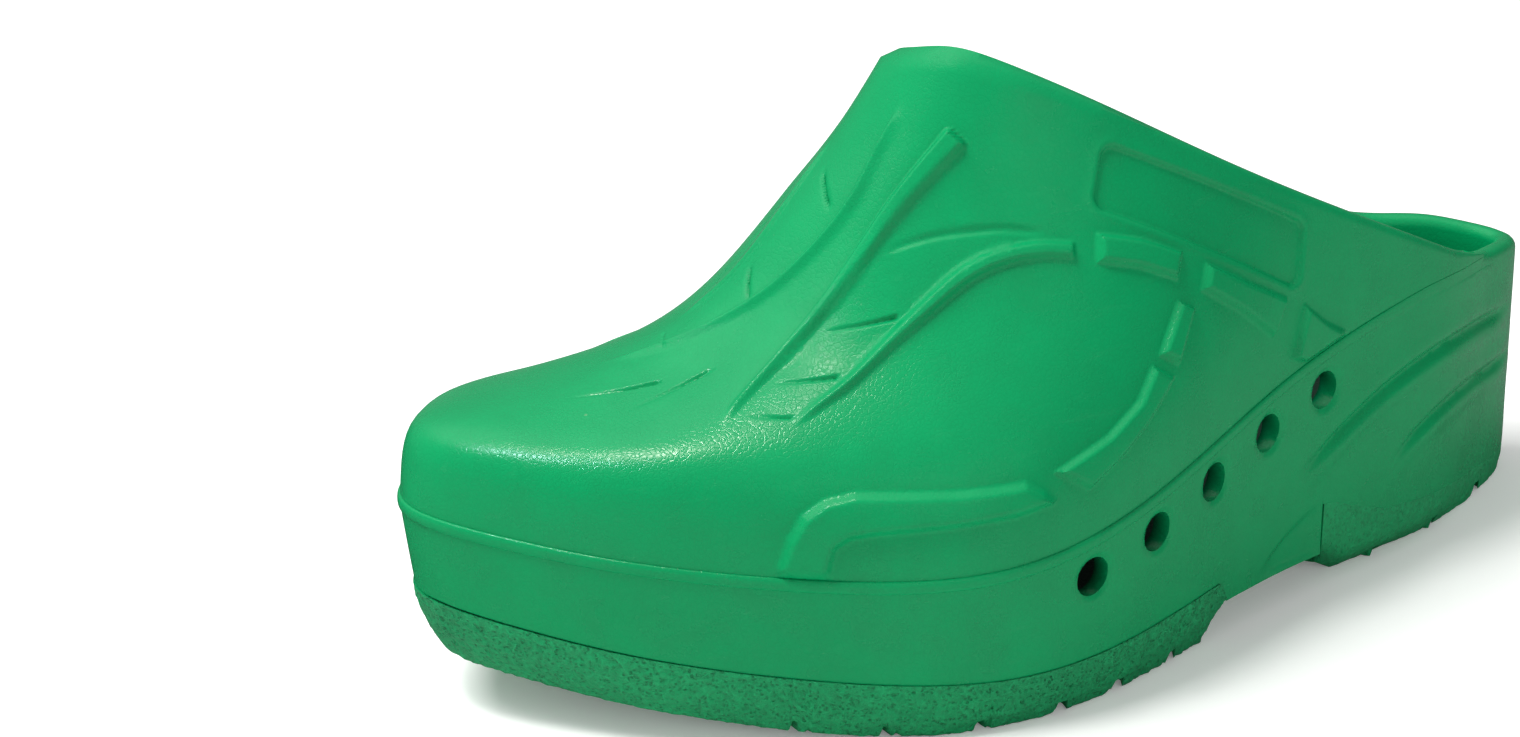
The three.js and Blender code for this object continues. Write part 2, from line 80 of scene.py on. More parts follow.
# section shapes: shares of the way in to the collar, shares of the way up
PROFILES = {
    "toe": [[0, .018, .076, .191, .332, .464, .579, .686, .794, .897, 1],
            [0, .149, .211, .227, .250, .290, .366, .488, .645, .795, 1]],
    "outer": [[0, .02, .08, .18, .30, .42, .54, .66, .78, .89, 1],
              [0, .138, .235, .300, .360, .422, .500, .603, .722, .855, 1]],
    "side": [[0, .03, .10, .2, .32, .44, .56, .68, .79, .9, 1],
             [0, .114, .233, .344, .448, .544, .64, .736, .825, .914, 1]],
    "rear": [[0, .05, .12, .22, .33, .45, .57, .69, .80, .9, 1],
             [0, .1, .2, .3, .4, .5, .6, .7, .8, .9, 1]],
    "inner": [[0, .02, .08, .18, .30, .42, .54, .66, .78, .89, 1],
              [0, .122, .172, .203, .243, .295, .380, .508, .668, .822, 1]],
}
# weights of the section shapes at each station
MIX = [
    {"toe": 1}, {"toe": .8, "outer": .2}, {"toe": .4, "outer": .6}, {"outer": 1},
    {"outer": .5, "side": .5}, {"side": 1}, {"side": .5, "rear": .5}, {"rear": 1}, {"rear": 1},
    {"rear": 1}, {"rear": 1}, {"rear": 1}, {"side": .5, "rear": .5}, {"side": 1},
    {"side": .5, "inner": .5}, {"inner": 1}, {"toe": .4, "inner": .6}, {"toe": .8, "inner": .2}]
WALL = 5.5             # thickness of the shells
RIM_RADIUS = 2.5
GAP = 0.3              # between floor, insole and cover
HEEL_X, TOE_X = -147.9, 148.2      # range of x that the stations cover


# ---- small helpers -------------------------------------------------------------------
def smooth(x, low, high):
    """smooth step from 0 at low to 1 at high"""
    share = np.clip((x - low) / (high - low), 0, 1)
    return share * share * (3 - 2 * share)


def ease(x, low, high):
    """the same with softer ends"""
    share = np.clip((x - low) / (high - low), 0, 1)
    return share * share * share * (share * (6 * share - 15) + 10)


def lookup(x, table):
    """straight-line lookup in (x, value) rows"""
    rows = np.array(table, float)
    return np.interp(x, rows[:, 0], rows[:, 1])


def rounding(distance, radius):
    """share of a rounded edge's setback, 1 at the edge and 0 from radius on"""
    share = np.clip((radius - distance) / radius, 0, 1)
    return 1 - np.sqrt(np.maximum(0, 1 - share * share))


def unit(vectors):
    return vectors / np.linalg.norm(vectors, axis=-1)[..., None]


def running_length(points, scale=1):
    """distance run along a flat path, at each of its points"""
    return np.r_[0, np.cumsum(np.hypot(*(np.diff(points, axis=0) * scale).T))]


def lattice_value(i, j, k):
    """repeatable value from 0 to 1 for a whole-numbered place"""
    mixed = (i * 374761393 + j * 668265263 + k * 2147483647 + 12345) & 0xFFFFFFFF
    mixed = ((mixed ^ (mixed >> 13)) * 1274126177) & 0xFFFFFFFF
    return ((mixed ^ (mixed >> 16)) & 0xFFFF) / 65535.0


def noise(points, cell):
    """smooth value noise, -1 to 1"""
    places = points / cell
    corner = np.floor(places).astype(np.int64)
    share = places - corner
    share = share * share * (3 - 2 * share)
    x, y, z = share.T
    total = 0
    for i in (0, 1):
        for j in (0, 1):
            for k in (0, 1):
                weight = (x if i else 1 - x) * (y if j else 1 - y) * (z if k else 1 - z)
                value = lattice_value(corner[:, 0] + i, corner[:, 1] + j, corner[:, 2] + k)
                total = total + weight * value
    return total * 2 - 1


def unevenness(points, broad, fine):
    """slight waviness of the moulding"""
    return .10 * noise(points, broad) + .05 * noise(points + 50, fine)


# ---- splines -------------------------------------------------------------------------
def curvature_map(knots, periodic):
    """matrix giving the second derivatives of the cubic spline from its values"""
    gaps = np.diff(knots)
    count = len(knots) - 1 if periodic else len(knots)
    bends, values = np.zeros((count, count)), np.zeros((count, count))
    for i in range(count):
        if not periodic and i in (0, count - 1):
            bends[i, i] = 1
            continue
        j, k = (i - 1) % count, (i + 1) % count
        before, after = gaps[i - 1], gaps[i]
        bends[i, j] += before
        bends[i, i] += 2 * (before + after)
        bends[i, k] += after
        values[i, k] += 6 / after
        values[i, i] -= 6 / after + 6 / before
        values[i, j] += 6 / before
    return np.linalg.solve(bends, values)


class Spline:
    """cubic spline; closed when there is one value less than knots"""
    def __init__(self, knots, values):
        self.knots, self.values = np.asarray(knots, float), np.asarray(values, float)
        self.periodic = len(self.values) == len(self.knots) - 1
        self.bends = curvature_map(self.knots, self.periodic) @ self.values

    def __call__(self, x):
        x = np.asarray(x, float)
        if self.periodic:
            x = np.mod(x, self.knots[-1])
        i = np.searchsorted(self.knots, x, side="right") - 1
        i = np.clip(i, 0, len(self.knots) - 2)
        j = (i + 1) % len(self.values)
        gap = self.knots[i + 1] - self.knots[i]
        left, right = (self.knots[i + 1] - x) / gap, (x - self.knots[i]) / gap
        if self.values.ndim > 1:
            left, right, gap = left[..., None], right[..., None], gap[..., None]
        bend = (left ** 3 - left) * self.bends[i] + (right ** 3 - right) * self.bends[j]
        return left * self.values[i] + right * self.values[j] + bend * gap * gap / 6


def along_x(values):
    spline = Spline(HEIGHT_X, values)
    return lambda x: spline(np.clip(x, -149, 149))


z_parting, z_step, z_floor = along_x(PARTING_Z), along_x(STEP_Z), along_x(FLOOR_Z)

# ---- skin ----------------------------------------------------------------------------
CHORDS = np.linalg.norm(np.roll(OUTLINE, -1, 0) - OUTLINE, axis=1)
STATIONS = np.r_[0, np.cumsum(np.sqrt(CHORDS))]
STATIONS = STATIONS / STATIONS[-1]
LEVELS = np.linspace(0, 1, 11)
LEVEL_BENDS = curvature_map(LEVELS, False)


def net_rows():
    """control points of the skin, a section of 11 points at each station"""
    rows = []
    for start, collar, collar_z, mix in zip(OUTLINE, COLLAR, COLLAR_Z, MIX):
        z = float(z_parting(start[0]))
        height = collar_z - z if collar_z > 0 else 0
        inward = sum(weight * np.array(PROFILES[kind][0]) for kind, weight in mix.items())
        upward = sum(weight * np.array(PROFILES[kind][1]) for kind, weight in mix.items())
        rows.append(np.c_[start + inward[:, None] * (collar - start), z + upward * height])
    return np.array(rows)


NET = Spline(STATIONS, net_rows().reshape(18, 33))


def skin(around, level):
    """points of the shoe's outer skin"""
    around, level = np.broadcast_arrays(np.asarray(around, float), np.asarray(level, float))
    net = NET(around).reshape(around.shape + (11, 3))
    net[..., 0, 2] = z_parting(net[..., 0, 0])
    bends = np.einsum("ij,...jc->...ic", LEVEL_BENDS, net)
    i = np.clip((level * 10).astype(int), 0, 9)
    low = ((LEVELS[i + 1] - level) * 10)[..., None]
    high = ((level - LEVELS[i]) * 10)[..., None]

    def pick(table, row):
        return np.take_along_axis(table, row[..., None, None].repeat(3, -1), -2)[..., 0, :]

    bend = (low ** 3 - low) * pick(bends, i) + (high ** 3 - high) * pick(bends, i + 1)
    return low * pick(net, i) + high * pick(net, i + 1) + bend / 600


def skin_normal(around, level):
    below, above = np.maximum(0, level - .004), np.minimum(1, level + .004)
    forward = skin(around + 5e-4, level) - skin(around - 5e-4, level)
    return unit(np.cross(forward, skin(around, above) - skin(around, below)))


def edge(around):
    """x, y of the parting line"""
    return NET(around)[..., :2]


def plan_normal(around):
    """outward direction of the parting line, seen from above"""
    forward = unit(edge(around + 1e-4) - edge(around - 1e-4))
    return np.stack([forward[..., 1], -forward[..., 0]], -1)


def inset(around, depth, z):
    """points at height z, moved in from the parting line"""
    points = edge(around)
    flat = points - np.asarray(depth).reshape(-1, 1) * plan_normal(around)
    return np.c_[flat, z * np.ones(len(points))]


HEEL = STATIONS[9]
OUTER_HALF, INNER_HALF = np.linspace(0, HEEL, 4001), np.linspace(HEEL, 1, 4001)
OUTER_X, INNER_X = edge(OUTER_HALF)[:, 0], edge(INNER_HALF)[:, 0]


def around_at(x, outer=True):
    """place on the outer or the inner side with that x"""
    if outer:
        k = OUTER_X.argmax()
        return np.interp(-np.asarray(x, float), -OUTER_X[k:], OUTER_HALF[k:])
    k = INNER_X.argmax()
    return np.interp(np.asarray(x, float), INNER_X[:k + 1], INNER_HALF[:k + 1])


def stations(x_low, x_high, step):
    """x of places evenly spaced along the outer side, from toe to heel"""
    path = edge(np.linspace(.0008, HEEL - .0008, 6001))
    length, x = running_length(path), path[:, 0]
    inside = (x >= x_low - 1e-6) & (x <= x_high + 1e-6)
    length, x = length[inside], x[inside]
    count = max(2, int((length[-1] - length[0]) / step))
    return np.interp(np.linspace(length[0], length[-1], count), length, x)


def ring_around(x):
    """closed round of places: toe, outer side, heel, inner side"""
    return np.r_[0, around_at(x), HEEL, around_at(x, False)[::-1]]


# ---- mesh helpers --------------------------------------------------------------------
def weld(points, faces, tolerance=1e-4):
    """joins equal vertices and drops flat faces"""
    keys = np.round(points / tolerance).astype(np.int64)
    _, first, inverse = np.unique(keys, axis=0, return_index=True, return_inverse=True)
    faces = inverse.reshape(-1)[faces]
    i, j, k = faces.T
    faces = faces[(i != j) & (j != k) & (i != k)]
    used, faces = np.unique(faces, return_inverse=True)
    return points[first][used], faces.reshape(-1, 3)


def grid_faces(rows, cols, flip=False, wrap=False):
    """triangles of a grid of vertices numbered row by row"""
    i, j = np.meshgrid(np.arange(rows - 1), np.arange(cols if wrap else cols - 1), indexing="ij")
    i, j = i.ravel(), j.ravel()
    k = (j + 1) % cols
    low, low_next, high, high_next = i * cols + j, i * cols + k, (i + 1) * cols + j, (i + 1) * cols + k
    faces = np.concatenate([np.c_[low, low_next, high_next], np.c_[low, high_next, high]])
    return faces[:, ::-1] if flip else faces


def closing_sheet(ring, z_of, cells, flip, dish=0):
    """closes a round of points by a sheet across the shoe, sunk by dish away from its edges"""
    count = (len(ring) - 2) // 2
    outer, inner = ring[1:count + 1], ring[count + 2:][::-1]
    share = np.linspace(0, 1, cells + 1)[:, None, None]
    sheet = outer * (1 - share) + inner * share
    sheet[1:-1, :, 2] = z_of(sheet[1:-1, :, 0])
    width = np.linalg.norm(outer - inner, axis=1)[None]
    from_edge = np.minimum(share[..., 0], 1 - share[..., 0]) * width
    sheet[..., 2] -= dish * smooth(from_edge, 1.5, 14)
    toe, heel = [np.repeat(ring[k][None, None], cells + 1, 1) for k in (0, count + 1)]
    points = np.concatenate([toe, sheet.transpose(1, 0, 2), heel], 0)
    return points.reshape(-1, 3), grid_faces(count + 2, cells + 1, flip)


def close_rows(rows, z_low, z_high, cells, dish=0):
    """closed mesh from rounds of points, with sheets over the first and the last"""
    grid = np.array(rows)
    count = grid.shape[0] * grid.shape[1]
    low, low_faces = closing_sheet(grid[0], z_low, cells, False)
    high, high_faces = closing_sheet(grid[-1], z_high, cells, True, dish)
    walls = grid_faces(grid.shape[0], grid.shape[1], wrap=True)
    return (np.concatenate([grid.reshape(-1, 3), low, high]),
            np.concatenate([walls, low_faces + count, high_faces + count + len(low)]))


def shade_smooth(mesh, sharp):
    mesh.polygons.foreach_set("use_smooth", np.ones(len(mesh.polygons), bool))
    mesh.set_sharp_from_angle(angle=math.radians(sharp))


def make_piece(node, shape, body, material, sharp):
    """a closed mesh that stands for a CAD node; edges over sharp degrees stay crisp"""
    points, faces = weld(*shape)
    low, high = np.array(CAD_BOX[0]) * 1000 + .004, np.array(CAD_BOX[1]) * 1000 - .004
    points = np.clip(points, low, high)
    first, second, third = [points[faces[:, k]] for k in range(3)]
    if np.einsum("ij,ij->i", first, np.cross(second, third)).sum() < 0:
        faces = faces[:, ::-1]
    mesh = bpy.data.meshes.new(node + "_skin")
    mesh.vertices.add(len(points))
    mesh.vertices.foreach_set("co", (points / 1000).astype(np.float32).ravel())
    mesh.loops.add(len(faces) * 3)
    mesh.loops.foreach_set("vertex_index", faces.astype(np.int32).ravel())
    mesh.polygons.add(len(faces))
    mesh.polygons.foreach_set("loop_start", (np.arange(len(faces)) * 3).astype(np.int32))
    mesh.update(calc_edges=True)
    mesh.validate()
    shade_smooth(mesh, sharp)
    piece = bpy.data.objects.new(node + "_skin", mesh)
    bpy.context.scene.collection.objects.link(piece)
    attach(piece, body)
    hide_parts(node)
    mesh.materials.append(material)
    return piece


def rim_drop(points):
    """the heel rim sits a little lower on the inner side"""
    x, y, z = points.T
    along = smooth(-x, 62, 102) * (1 - smooth(-x, 120, 140))
    return np.c_[x, y, z - 2.4 * along * smooth(-y, 4, 20) * smooth(z, 40, 60)]


# ---- raised and sunk ornament of the upper -------------------------------------------
# Rows: path as (around, level), (share of length, half width), (share of length, height),
# softness of the left and the right flank along the path seen from outside, softness of the
# start and the end. A place with around below 0 is on the inner side.
STROKES = [
    # long straight bar
    ([(.1155, .893), (.0960, .774), (.0905, .683), (.0875, .574), (.0925, .431), (.1010, .311)],
     [(0, 2.4), (.35, 1.7), (.75, 1.1), (1, .4)], [(0, 2.2), (.7, 1.9), (1, .6)], 2.8, 2.0, 1.4, 6),
    # long swept ridge beside it
    ([(.0480, .938), (.0476, .900), (.0510, .850), (.0545, .800), (.0510, .755), (.0430, .708),
      (.0325, .662), (.0200, .617), (.0080, .573), (-.0100, .506), (-.0295, .432)],
     [(0, .8), (1, .8)], [(0, .5), (.12, 1.6), (.8, 1.35), (1, .2)], 5.0, 2.2, 5, 10),
    # low ridge on the toe's inner half
    ([(-.0381, .886), (-.0248, .812), (-.0180, .750), (-.0175, .691), (-.0225, .628),
      (-.0300, .560)],
     [(0, .7), (1, .7)], [(0, .4), (.2, 1.0), (.8, .8), (1, .1)], 1.5, 6.5, 4, 8),
    # thin cuts
    ([(-.0086, .846), (.0180, .812), (.0420, .778)],
     [(0, .3), (1, .3)], [(0, -.85), (1, -.85)], 1.2, 1.2, 3, 3),
    ([(-.0060, .705), (.0279, .639)],
     [(0, .3), (1, .3)], [(0, -.85), (1, -.85)], 1.2, 1.2, 3, 3),
    ([(-.0200, .552), (.0019, .530)],
     [(0, .25), (1, .25)], [(0, -.5), (1, -.5)], 1.1, 1.1, 2, 2),
    ([(.0106, .358), (.0212, .407), (.0332, .455)],
     [(0, .1), (1, .4)], [(0, -.4), (.8, -1.15), (1, -1.2)], 1.1, 2.2, 5, 1.2),
    ([(.0480, .353), (.0473, .435), (.0508, .512)],
     [(0, .1), (1, .4)], [(0, -.4), (.8, -1.1), (1, -.8)], 1.1, 2.4, 5, 3),
    ([(.0975, .576), (.1160, .589), (.1335, .607)],
     [(0, .15), (1, .45)], [(0, -.4), (1, -1.0)], 1.1, 1.4, 3, 1.5),
    ([(.0975, .451), (.1128, .456), (.1265, .467)],
     [(0, .15), (1, .4)], [(0, -.3), (1, -.8)], 1.1, 1.2, 3, 1.5),
    ([(.1030, .360), (.1142, .354), (.1240, .353)],
     [(0, .15), (1, .3)], [(0, -.3), (1, -.6)], 1.1, 1.2, 3, 1.5),
    # sunk arc between the bar and the S ridge
    ([(.1040, .716), (.1184, .734), (.1334, .749), (.1537, .760), (.1640, .763), (.1799, .758),
      (.1925, .751)],
     [(0, .4), (.5, .6), (1, .4)], [(0, -.4), (.3, -.8), (.8, -.8), (1, -.3)], 3.0, 1.9, 3, 4),
    # S ridge
    ([(.2040, .714), (.1905, .722), (.1770, .719), (.1650, .706), (.1540, .677), (.1455, .627),
      (.1400, .580), (.1360, .520), (.1330, .440), (.1290, .378), (.1268, .318)],
     [(0, 1.5), (.35, 1.6), (.6, 1.2), (1, .5)], [(0, 1.5), (.4, 2.0), (.8, 1.6), (1, .5)],
     2.1, 2.6, 1.6, 6),
    # inner side: flared ridge and two lines running towards the toe
    ([(-.2169, .640), (-.1900, .675), (-.1669, .686), (-.1438, .680), (-.1258, .640),
      (-.1138, .579), (-.1038, .518), (-.0908, .440), (-.0850, .380)],
     [(0, 4.6), (.2, 3.2), (.5, 2.0), (1, .6)], [(0, 1.8), (.5, 1.6), (1, .3)], 1.3, 3.2, 1.5, 8),
    ([(-.1750, .560), (-.1500, .575), (-.1300, .540), (-.1180, .480), (-.1080, .410)],
     [(0, .5), (1, .4)], [(0, .2), (.5, .8), (1, .2)], 4.5, 1.2, 6, 8),
    ([(-.1180, .385), (-.0960, .350), (-.0760, .330)],
     [(0, .2), (1, .2)], [(0, -.3), (.5, -.7), (1, -.2)], 2.2, .9, 4, 4),
]
# raised pads: outline as (around, level), height, softness of the border
PADS = [
    ([(.2141, .745), (.2360, .722), (.2582, .672), (.2581, .600), (.2370, .655), (.2174, .683)],
     1.7, 2.3),
    ([(.2727, .629), (.2960, .552), (.3203, .451), (.3165, .290), (.2960, .440), (.2725, .549)],
     1.7, 2.4),
    ([(.3311, .392), (.3440, .230), (.3580, .000), (.3390, .000), (.3293, .124)], 1.6, 2.5),
    ([(.2608, .532), (.2692, .495), (.2655, .345), (.2558, .392)], 1.6, 2.0),
    ([(.2529, .366), (.2485, .288), (.2373, .232), (.2195, .188), (.2326, .125), (.2459, .176),
      (.2524, .210), (.2585, .256), (.2636, .310)], 1.6, 2.2),
    ([(.1395, .005), (.1430, .070), (.1463, .113), (.1515, .146), (.1594, .165), (.1719, .169),
      (.1888, .172), (.2020, .176), (.2095, .178), (.2160, .150), (.2202, .122), (.2079, .112),
      (.1904, .104), (.1678, .090), (.1607, .080), (.1566, .062), (.1545, .005)], 2.0, 3.0),
]
LAST_PAD_INNER = .62       # the last pad's height on the inner side, as a share
# blank sunk plate on the outer side
PLATE = [(.2073, .928), (.3221, .842), (.3271, .480), (.2089, .802)]
PLATE_HEIGHT, PLATE_SOFTNESS, PLATE_CORNER = -1.0, 1.3, 3.0
PATH_SCALE = (640, 120)    # rough millimetres per unit of around and level
CRISP = 2.3                # flanks softer than this need no finer mesh


def trace(path):
    """a stroke's points on the skin, their leftward directions and lengths along it"""
    path = np.array(path, float)
    knots = running_length(path, PATH_SCALE)
    steps = np.linspace(0, knots[-1], max(3, int(knots[-1] / 1.6)))
    around, level = Spline(knots, path)(steps).T
    around = np.mod(around, 1)
    points = skin(around, np.clip(level, 0, 1))
    forward = unit(np.gradient(points, axis=0))
    left = unit(np.cross(skin_normal(around, np.clip(level, .005, .995)), forward))
    length = np.r_[0, np.cumsum(np.linalg.norm(np.diff(points, axis=0), axis=1))]
    return points, left, length


def mirrored(path):
    """the same places on the inner side"""
    path = np.array(path, float)
    x = edge(np.mod(path[:, 0], 1))[:, 0]
    return np.c_[around_at(x, False) - 1, path[:, 1]]


def polygon_distance(points, polygon):
    """signed distance to a polygon in the plane, negative inside"""
    nearest = np.full(len(points), 1e9)
    inside = np.zeros(len(points), bool)
    for start, end in zip(polygon, np.roll(polygon, -1, 0)):
        side, offset = end - start, points - start
        share = np.clip((offset @ side) / (side @ side), 0, 1)
        nearest = np.minimum(nearest, np.hypot(*(offset - share[:, None] * side).T))
        y = points[:, 1]
        crosses = (start[1] > y) != (end[1] > y)
        with np.errstate(divide="ignore", invalid="ignore"):
            x = (end[0] - start[0]) * (y - start[1]) / (end[1] - start[1]) + start[0]
        inside ^= crosses & (points[:, 0] < x)
    return np.where(inside, -nearest, nearest)


def inset_polygon(polygon, distance):
    x, y = polygon.T
    sign = 1 if (x * np.roll(y, -1) - np.roll(x, -1) * y).sum() > 0 else -1
    corners = []
    for before, here, after in zip(np.roll(polygon, 1, 0), polygon, np.roll(polygon, -1, 0)):
        side, following = unit(here - before), unit(after - here)
        normal = sign * np.array([-side[1], side[0]])
        other = sign * np.array([-following[1], following[0]])
        corners.append(here + (normal + other) * distance / (1 + normal @ other))
    return np.array(corners)


def flatten_pad(path, height, softness, corner=0.0):
    """a pad's centre, axes, outline in its own plane, reach and border"""
    path = np.array(path, float)
    points = skin(np.mod(path[:, 0], 1), np.clip(path[:, 1], 0, 1))
    centre = points.mean(0)
    axes = np.linalg.svd(points - centre)[2]
    outline = np.c_[(points - centre) @ axes[0], (points - centre) @ axes[1]]
    reach = (np.abs(outline).max() + 6) * 1.5
    if corner:
        # shrunk here, and grown again with round corners in pad_relief
        outline = inset_polygon(outline, corner)
    return centre, axes, outline, reach, height, softness, corner


def stroke_relief(points, traced, widths, heights, left_soft, right_soft, start_soft, end_soft):
    """height of a stroke at points near it, and where its borders are crisp"""
    path, left, length = traced
    nearest = np.full(len(points), 1e9)
    along, side, beyond = [np.zeros(len(points)) for _ in range(3)]
    for i in range(len(path) - 1):
        step = path[i + 1] - path[i]
        offset = points - path[i]
        raw = (offset @ step) / (step @ step)
        share = np.clip(raw, 0, 1)
        apart = offset - share[:, None] * step
        distance = np.linalg.norm(apart, axis=1)
        leftward = left[i] * (1 - share)[:, None] + left[i + 1] * share[:, None]
        past = np.zeros(len(points))
        if i == 0:
            past = np.maximum(past, -raw * np.linalg.norm(step))
        if i == len(path) - 2:
            past = np.maximum(past, (raw - 1) * np.linalg.norm(step))
        closer = distance < nearest
        nearest[closer] = distance[closer]
        along[closer] = (length[i] + share * (length[i + 1] - length[i]))[closer]
        side[closer] = np.einsum("ij,ij->i", apart, leftward)[closer]
        beyond[closer] = past[closer]
    total = length[-1]
    width, height = lookup(along / total, widths), lookup(along / total, heights)
    left_flank = 1 - ease(side, width - left_soft * .5, width + left_soft * .5)
    right_flank = 1 - ease(-side, width - right_soft * .5, width + right_soft * .5)
    ends = (ease(along - beyond, -.5 * start_soft, .5 * start_soft)
            * (1 - ease(along - total + beyond, -.5 * end_soft, .5 * end_soft)))
    if start_soft > 2.5:
        ends = ends * ease(along, 0, start_soft * 1.5)
    if end_soft > 2.5:
        ends = ends * (1 - ease(along, total - end_soft * 1.5, total))
    near = nearest < stroke_margin(widths, left_soft, right_soft)
    relief = height * left_flank * right_flank * ends * near
    crisp = (np.abs(side - width) < left_soft * .5 + .35) & (left_soft < CRISP)
    crisp |= (np.abs(-side - width) < right_soft * .5 + .35) & (right_soft < CRISP)
    crisp |= (np.abs(along - beyond) < 1.0) | (np.abs(along - total + beyond) < 1.0)
    return relief, crisp & (np.abs(height) > .25) & (nearest < width + 2.2) & (beyond < 1.5)


def stroke_margin(widths, left_soft, right_soft):
    return 4 + max(left_soft, right_soft) + max(width for _, width in widths)


def pad_relief(points, pad):
    """height of a pad at points near it, and where its border is"""
    centre, axes, outline, _, height, softness, corner = pad
    flat = np.c_[(points - centre) @ axes[0], (points - centre) @ axes[1]]
    distance = polygon_distance(flat, outline) - corner
    inner, outer = -softness * .62, softness * .38
    relief = height * (1 - ease(distance, inner, outer))
    if height < 0:
        # thin raised lip round the plate
        relief = relief + .16 * np.exp(-((distance - 1.1) / .7) ** 2)
    return relief, (distance > inner - .3) & (distance < outer + .3)


TRACED_STROKES = [(trace(path), *form) for path, *form in STROKES]
FLAT_PADS = [flatten_pad(*pad) for pad in PADS]
for path, height, softness in PADS:
    share = LAST_PAD_INNER if path is PADS[-1][0] else 1
    FLAT_PADS.append(flatten_pad(mirrored(path), height * share, softness))
FLAT_PADS.append(flatten_pad(PLATE, PLATE_HEIGHT, PLATE_SOFTNESS, PLATE_CORNER))


def ornament(points):
    """height of the relief over the plain skin, and where it has a crisp edge"""
    raised, sunk, crisp = np.zeros(len(points)), np.zeros(len(points)), np.zeros(len(points), bool)
    for stroke in TRACED_STROKES:
        path = stroke[0][0]
        margin = stroke_margin(stroke[1], stroke[3], stroke[4])
        near = (points > path.min(0) - margin) & (points < path.max(0) + margin)
        k = np.where(near.all(1))[0]
        if len(k) == 0:
            continue
        relief, border = stroke_relief(points[k], *stroke)
        raised[k] = np.maximum(raised[k], np.maximum(relief, 0))
        sunk[k] = np.minimum(sunk[k], np.minimum(relief, 0))
        crisp[k] |= border
    for pad in FLAT_PADS:
        centre, axes, _, reach, height, _, _ = pad
        offset = points - centre
        k = np.where((np.linalg.norm(offset, axis=1) < reach) & (np.abs(offset @ axes[2]) < 14))[0]
        if len(k) == 0:
            continue
        relief, border = pad_relief(points[k], pad)
        if height > 0:
            raised[k] = np.maximum(raised[k], relief)
        else:
            sunk[k] += relief
        crisp[k] |= border
    return raised + sunk, crisp


# ---- upper shell ---------------------------------------------------------------------
BEAD_UP = 1.0          # the bead's top above the parting line
END_X = -119.5         # where the upper runs out on the heel rim
FOOT_RADIUS = .09
SECTIONS = 286
OUT_CELLS, RIM_CELLS, IN_CELLS, FOOT_CELLS = 64, 7, 12, 2
SPLIT = 4              # a refined cell is split this many times each way
REFINED_CELLS = 4700   # at most, those nearest to the section below
REFINED_SECTION = 170


def bead_up(x):
    return BEAD_UP * smooth(x, -112, -88)


def upper_sections():
    """fine places along the shell, evenly spaced on the parting line"""
    around = np.linspace(around_at(END_X, False) - 1, around_at(END_X), 4001)
    length = running_length(edge(np.mod(around, 1)))
    coarse = np.interp(np.linspace(0, length[-1], SECTIONS + 1), length, around)
    fine = np.arange(SECTIONS * SPLIT + 1) / SPLIT
    return np.interp(fine, np.arange(SECTIONS + 1), coarse)


# places round a section: 0 to 1 outside up, to 2 over the rim, to 3 inside down, to 4 the foot
OUT_TURN = np.linspace(0, 1, OUT_CELLS + 1)
OUT_TURN = OUT_TURN + .035 * np.sin(2 * np.pi * OUT_TURN) / (2 * np.pi)
TURN = np.r_[OUT_TURN, 1 + np.linspace(0, 1, RIM_CELLS + 1)[1:],
             2 + np.linspace(0, 1, IN_CELLS + 1)[1:], 3 + np.linspace(0, 1, FOOT_CELLS + 1)[1:-1]]
CELLS = len(TURN)
RING = CELLS * SPLIT
FINE_TURN = np.interp(np.arange(RING) / SPLIT, np.arange(CELLS + 1), np.r_[TURN, 4])
FINE_AROUND = upper_sections()


